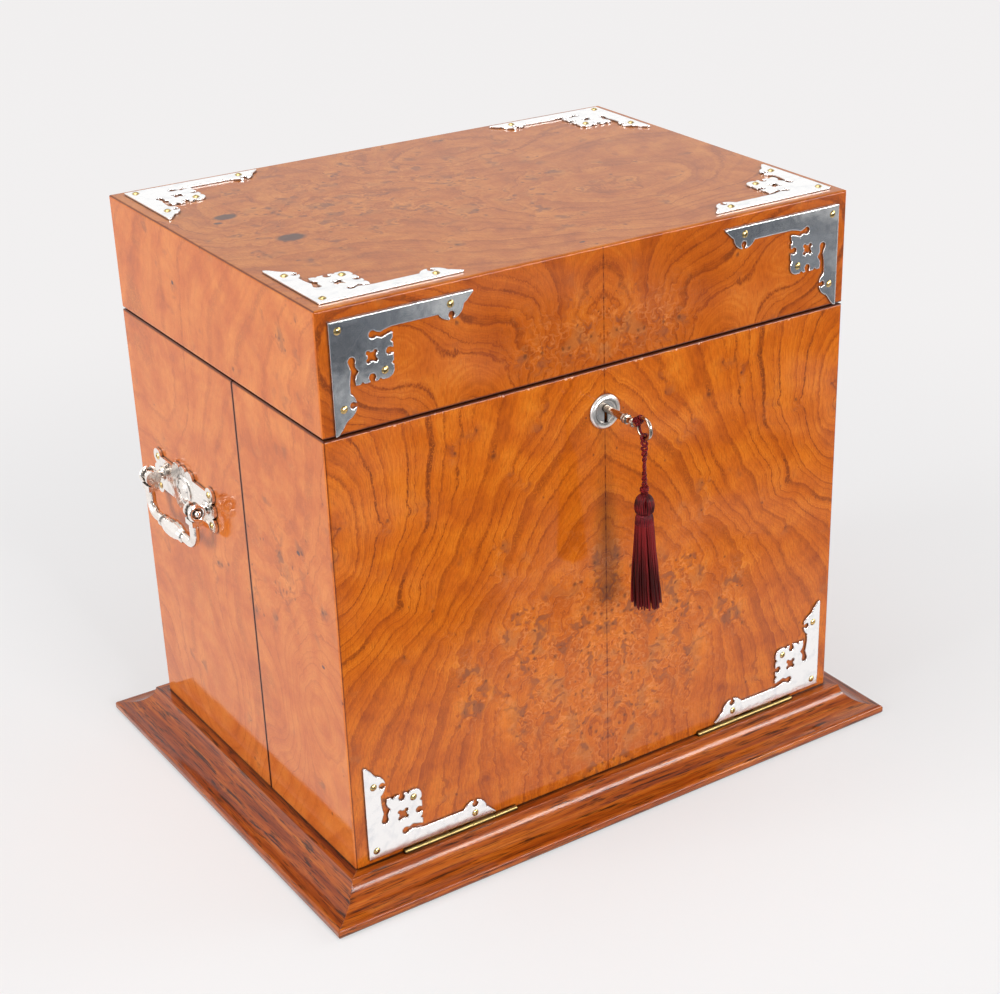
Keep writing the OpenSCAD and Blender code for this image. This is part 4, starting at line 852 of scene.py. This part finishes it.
# Fringe: cut strands that flare and lean a little to the right
# each strand is a thin tube whose middle runs down and outwards, at a radius of
# start + (end - start) t^0.9 + wobble from the tassel's middle
strand = {
    "counts": (38, 28, 16),    # strands in each ring, from the outside in
    "rings": (4.0, 2.9, 1.7),  # mm, radius of each ring where it leaves the band
    "top": 15.4 * mm,          # below the head's top
    "length": 52 * mm,
    "radius": 0.54 * mm,
    "sides": 6,
    "flare": 1.74,             # how many times its ring's radius a strand ends from the middle
    "strays": 5,
    "lean": 1.7 * mm,
    "waves": (5, 9),           # radians of a strand's waviness over its length
    "wobble": 0.35 * mm,
    "cutAt": 0.993,            # the strands are cut off blunt: the last ring before the closing point
}
random = np.random.default_rng(7)
fringeTop = headTop - strand["top"]
counts = strand["counts"]
total = sum(counts)
ringOf = np.repeat(np.arange(3), counts)
startAngle = np.concatenate([np.arange(n) / n * 2 * np.pi for n in counts]) + random.normal(0, 0.05, total)
startRadius = np.array(strand["rings"])[ringOf] * mm
endRadius = startRadius * (strand["flare"] + random.normal(0, 0.10, total))
strays = random.choice(counts[0], strand["strays"], replace=False)
endRadius[strays] += random.uniform(0.6, 1.3, strand["strays"]) * mm
length = strand["length"] * (0.975 - 0.05 * (startRadius / (4 * mm)) + random.normal(0, 0.016, total))
t = np.append(np.linspace(0, strand["cutAt"], 21), 1)[None, :]
waves = random.uniform(*strand["waves"], (total, 1))
wobble = strand["wobble"] * np.sin(waves * t + random.uniform(0, 6.28, (total, 1))) * t
radial = startRadius[:, None] + (endRadius - startRadius)[:, None] * t ** 0.9 + wobble
angle = startAngle[:, None] + 0.10 * t + random.normal(0, 0.04, (total, 1)) * t
leaning = strand["lean"] * t ** 1.6
centre = foot + np.stack([radial * np.cos(angle) + leaning, radial * np.sin(angle),
                          fringeTop - foot[2] - length[:, None] * t], -1)
tangent = np.gradient(centre, axis=1)
tangent /= np.linalg.norm(tangent, axis=2, keepdims=True)
side = np.cross(tangent, [0, 1, 0])
side /= np.linalg.norm(side, axis=2, keepdims=True)
other = np.cross(tangent, side)
turn = np.linspace(0, 2 * np.pi, strand["sides"], endpoint=False)
thick = np.full((total, t.size), strand["radius"])
thick[:, [0, -1]] = 0
outward = (np.cos(turn)[None, None, :, None] * side[:, :, None]
           + np.sin(turn)[None, None, :, None] * other[:, :, None])
strandPoints = centre[:, :, None] + thick[..., None, None] * outward
grid = strandPoints.shape[:3]
uv = np.stack([np.broadcast_to(turn / (2 * np.pi) * 0.98, grid) + np.arange(total)[:, None, None],
               np.broadcast_to((length[:, None] * t / mm)[..., None], grid)], -1)
fringe = surface("tasselFringe", strandPoints, "silkFringe", "tassel", uv)
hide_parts("tassel_fringe")
# with the front down the tassel would reach the table; here each tassel piece only gets a mesh of its own
for piece in (silkCord, headKnot, tasselHead, tasselBand, fringe):
    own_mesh(piece)
print("fringe made:", total, "strands")


# Studio
studio = {
    "floor": "#E5E6E7",
    "glow": "#F6F4F4",
    "dome": 0.30,            # sky level that lights the object
    "shown": 0.905,          # level that the camera sees
    "mirrored": 1.08,        # level that polished surfaces see behind and beside the case
    "dusk": 0.30,            # level that they see in front and to the right
    "ahead": (0.53, -0.85, 0.0),
    "floorFar": (0.25, 0.8),  # metres over which the floor goes over to the backdrop's level
    "lamps": [               # name, place, size, share of full light on a surface that faces it
        ("keyPanel", (0.0, -2.55, 1.0), 0.66, 0.67),
        ("topPanel", (-0.2, 0.3, 2.4), 1.4, 0.34),
        ("leftPanel", (-2.4, 0.2, 0.9), 1.4, 0.76),
        ("rightPanel", (2.3, -0.6, 1.1), 1.4, 0.30),
    ],
    "card": (-0.34, -0.21),  # y where the dark card is full and where it ends
    "mottle": [(0.38, "#24282F"), (0.46, "#464C56"), (0.54, "#8A9098"), (0.63, "#DEDEDC")],
    "softbox": ((1.5, -2.35, 1.22), (1.9, 0.56), 15.0),  # place, width and height, level
}


def seenBy(add):
    # 1 for mirror-like and glass rays, and 1 for those and the camera's
    rays = add("LightPath")
    mirror = add("Math MAXIMUM", rays.outputs["Is Glossy Ray"], rays.outputs["Is Transmission Ray"])
    return mirror, add("Math MAXIMUM", mirror, rays.outputs["Is Camera Ray"])


world = bpy.data.worlds.new("paleStudio")
scene.world = world
world.use_nodes = True
add = functools.partial(addNode, world.node_tree)
mirror, either = seenBy(add)
# direction of the ray: polished surfaces see a dim room in front and to the right, pale walls elsewhere
ahead = add("VectorMath DOT_PRODUCT", add("TexCoord").outputs["Generated"], studio["ahead"])
dusk = add("MapRange SMOOTHSTEP", ahead, -0.15, 0.55, studio["mirrored"], studio["dusk"])
bright = add("Mix", {0: mirror, 2: studio["shown"], 3: dusk})
level = add("Mix", {0: either, 2: studio["dome"], 3: bright})
fill(world.node_tree.nodes["Background"], {"Color": (1, 1, 1, 1), "Strength": level})

for name, place, size, share in studio["lamps"]:
    lampData = bpy.data.lights.new(name, "AREA")
    lampData.size = size
    away = Vector(place) - Vector((0, 0, 0.15))
    lampData.energy = share * math.pi ** 2 * away.length_squared
    lamp = bpy.data.objects.new(name, lampData)
    lamp.location = place
    lamp.rotation_euler = (-away).to_track_quat("-Z", "Y").to_euler()
    scene.collection.objects.link(lamp)


def stagePlane(name, finishName, corners):
    # a flat piece of the studio, and addNode for its material
    mesh = bpy.data.meshes.new(name)
    mesh.from_pydata(corners, [], [(0, 1, 2, 3)])
    finish = bpy.data.materials.new(finishName)
    finish.use_nodes = True
    finish.node_tree.nodes.clear()
    mesh.materials.append(finish)
    piece = bpy.data.objects.new(name, mesh)
    scene.collection.objects.link(piece)
    return piece, functools.partial(addNode, finish.node_tree)


# pale paper: near the case it takes soft shadows, far away it glows to the level of the backdrop
floor, add = stagePlane("studioFloor", "paperSweep", [(-9, -9, 0), (9, -9, 0), (9, 9, 0), (-9, 9, 0)])
mirror, either = seenBy(add)
far = add("VectorMath LENGTH", add("TexCoord").outputs["Object"])
share = add("MapRange SMOOTHSTEP", far, *studio["floorFar"], 0.5, 0.97)
share = add("Mix", {0: mirror, 2: share, 3: 0.9})
paper = add("BsdfDiffuse", {"Color": linear(studio["floor"])})
glowLevel = add("Mix", {0: mirror, 2: 0.97, 3: 1.12})
glow = add("Emission", {"Color": linear(studio["glow"]), "Strength": glowLevel})
lit = add("MixShader", share, paper, glow)
add("OutputMaterial", {"Surface": add("MixShader", either, paper, lit)})

# a dark card on the floor well in front, which only polished surfaces see, mottled like a dim room
cardCorners = [(-1.5, -4.0, 0.002), (4.0, -4.0, 0.002), (4.0, -0.2, 0.002), (-1.5, -0.2, 0.002)]
card, add = stagePlane("darkCard", "darkCard", cardCorners)
fullY, endY = studio["card"]
place = add("TexCoord").outputs["Object"]
soft = add("MapRange SMOOTHSTEP", add("SeparateXYZ", place).outputs[1], fullY, endY, 0.97, 0.0)
mottle = add("TexNoise", {"Vector": place, "Scale": 7.5, "Detail": 3.0, "Roughness": 0.55})
dark = add("Emission", {"Color": add("ValToRGB", mottle, stops=studio["mottle"]), "Strength": 1.0})
add("OutputMaterial", {"Surface": add("MixShader", soft, add("BsdfTransparent"), dark)})

# the softbox that polished edges and mouldings reflect
middle, (boxWidth, boxHeight), boxLevel = studio["softbox"]
sideways = Vector((0.85, 0.53, 0)) * boxWidth / 2
upright = Vector((0, 0, boxHeight / 2))
boxCorners = [tuple(Vector(middle) + p * sideways + q * upright)
              for p, q in ((-1, -1), (1, -1), (1, 1), (-1, 1))]
softbox, add = stagePlane("softbox", "softbox", boxCorners)
add("OutputMaterial", {"Surface": add("Emission", {"Strength": boxLevel})})
for piece in (card, softbox):
    piece.visible_camera = piece.visible_diffuse = piece.visible_shadow = piece.visible_transmission = False
print("studio set")
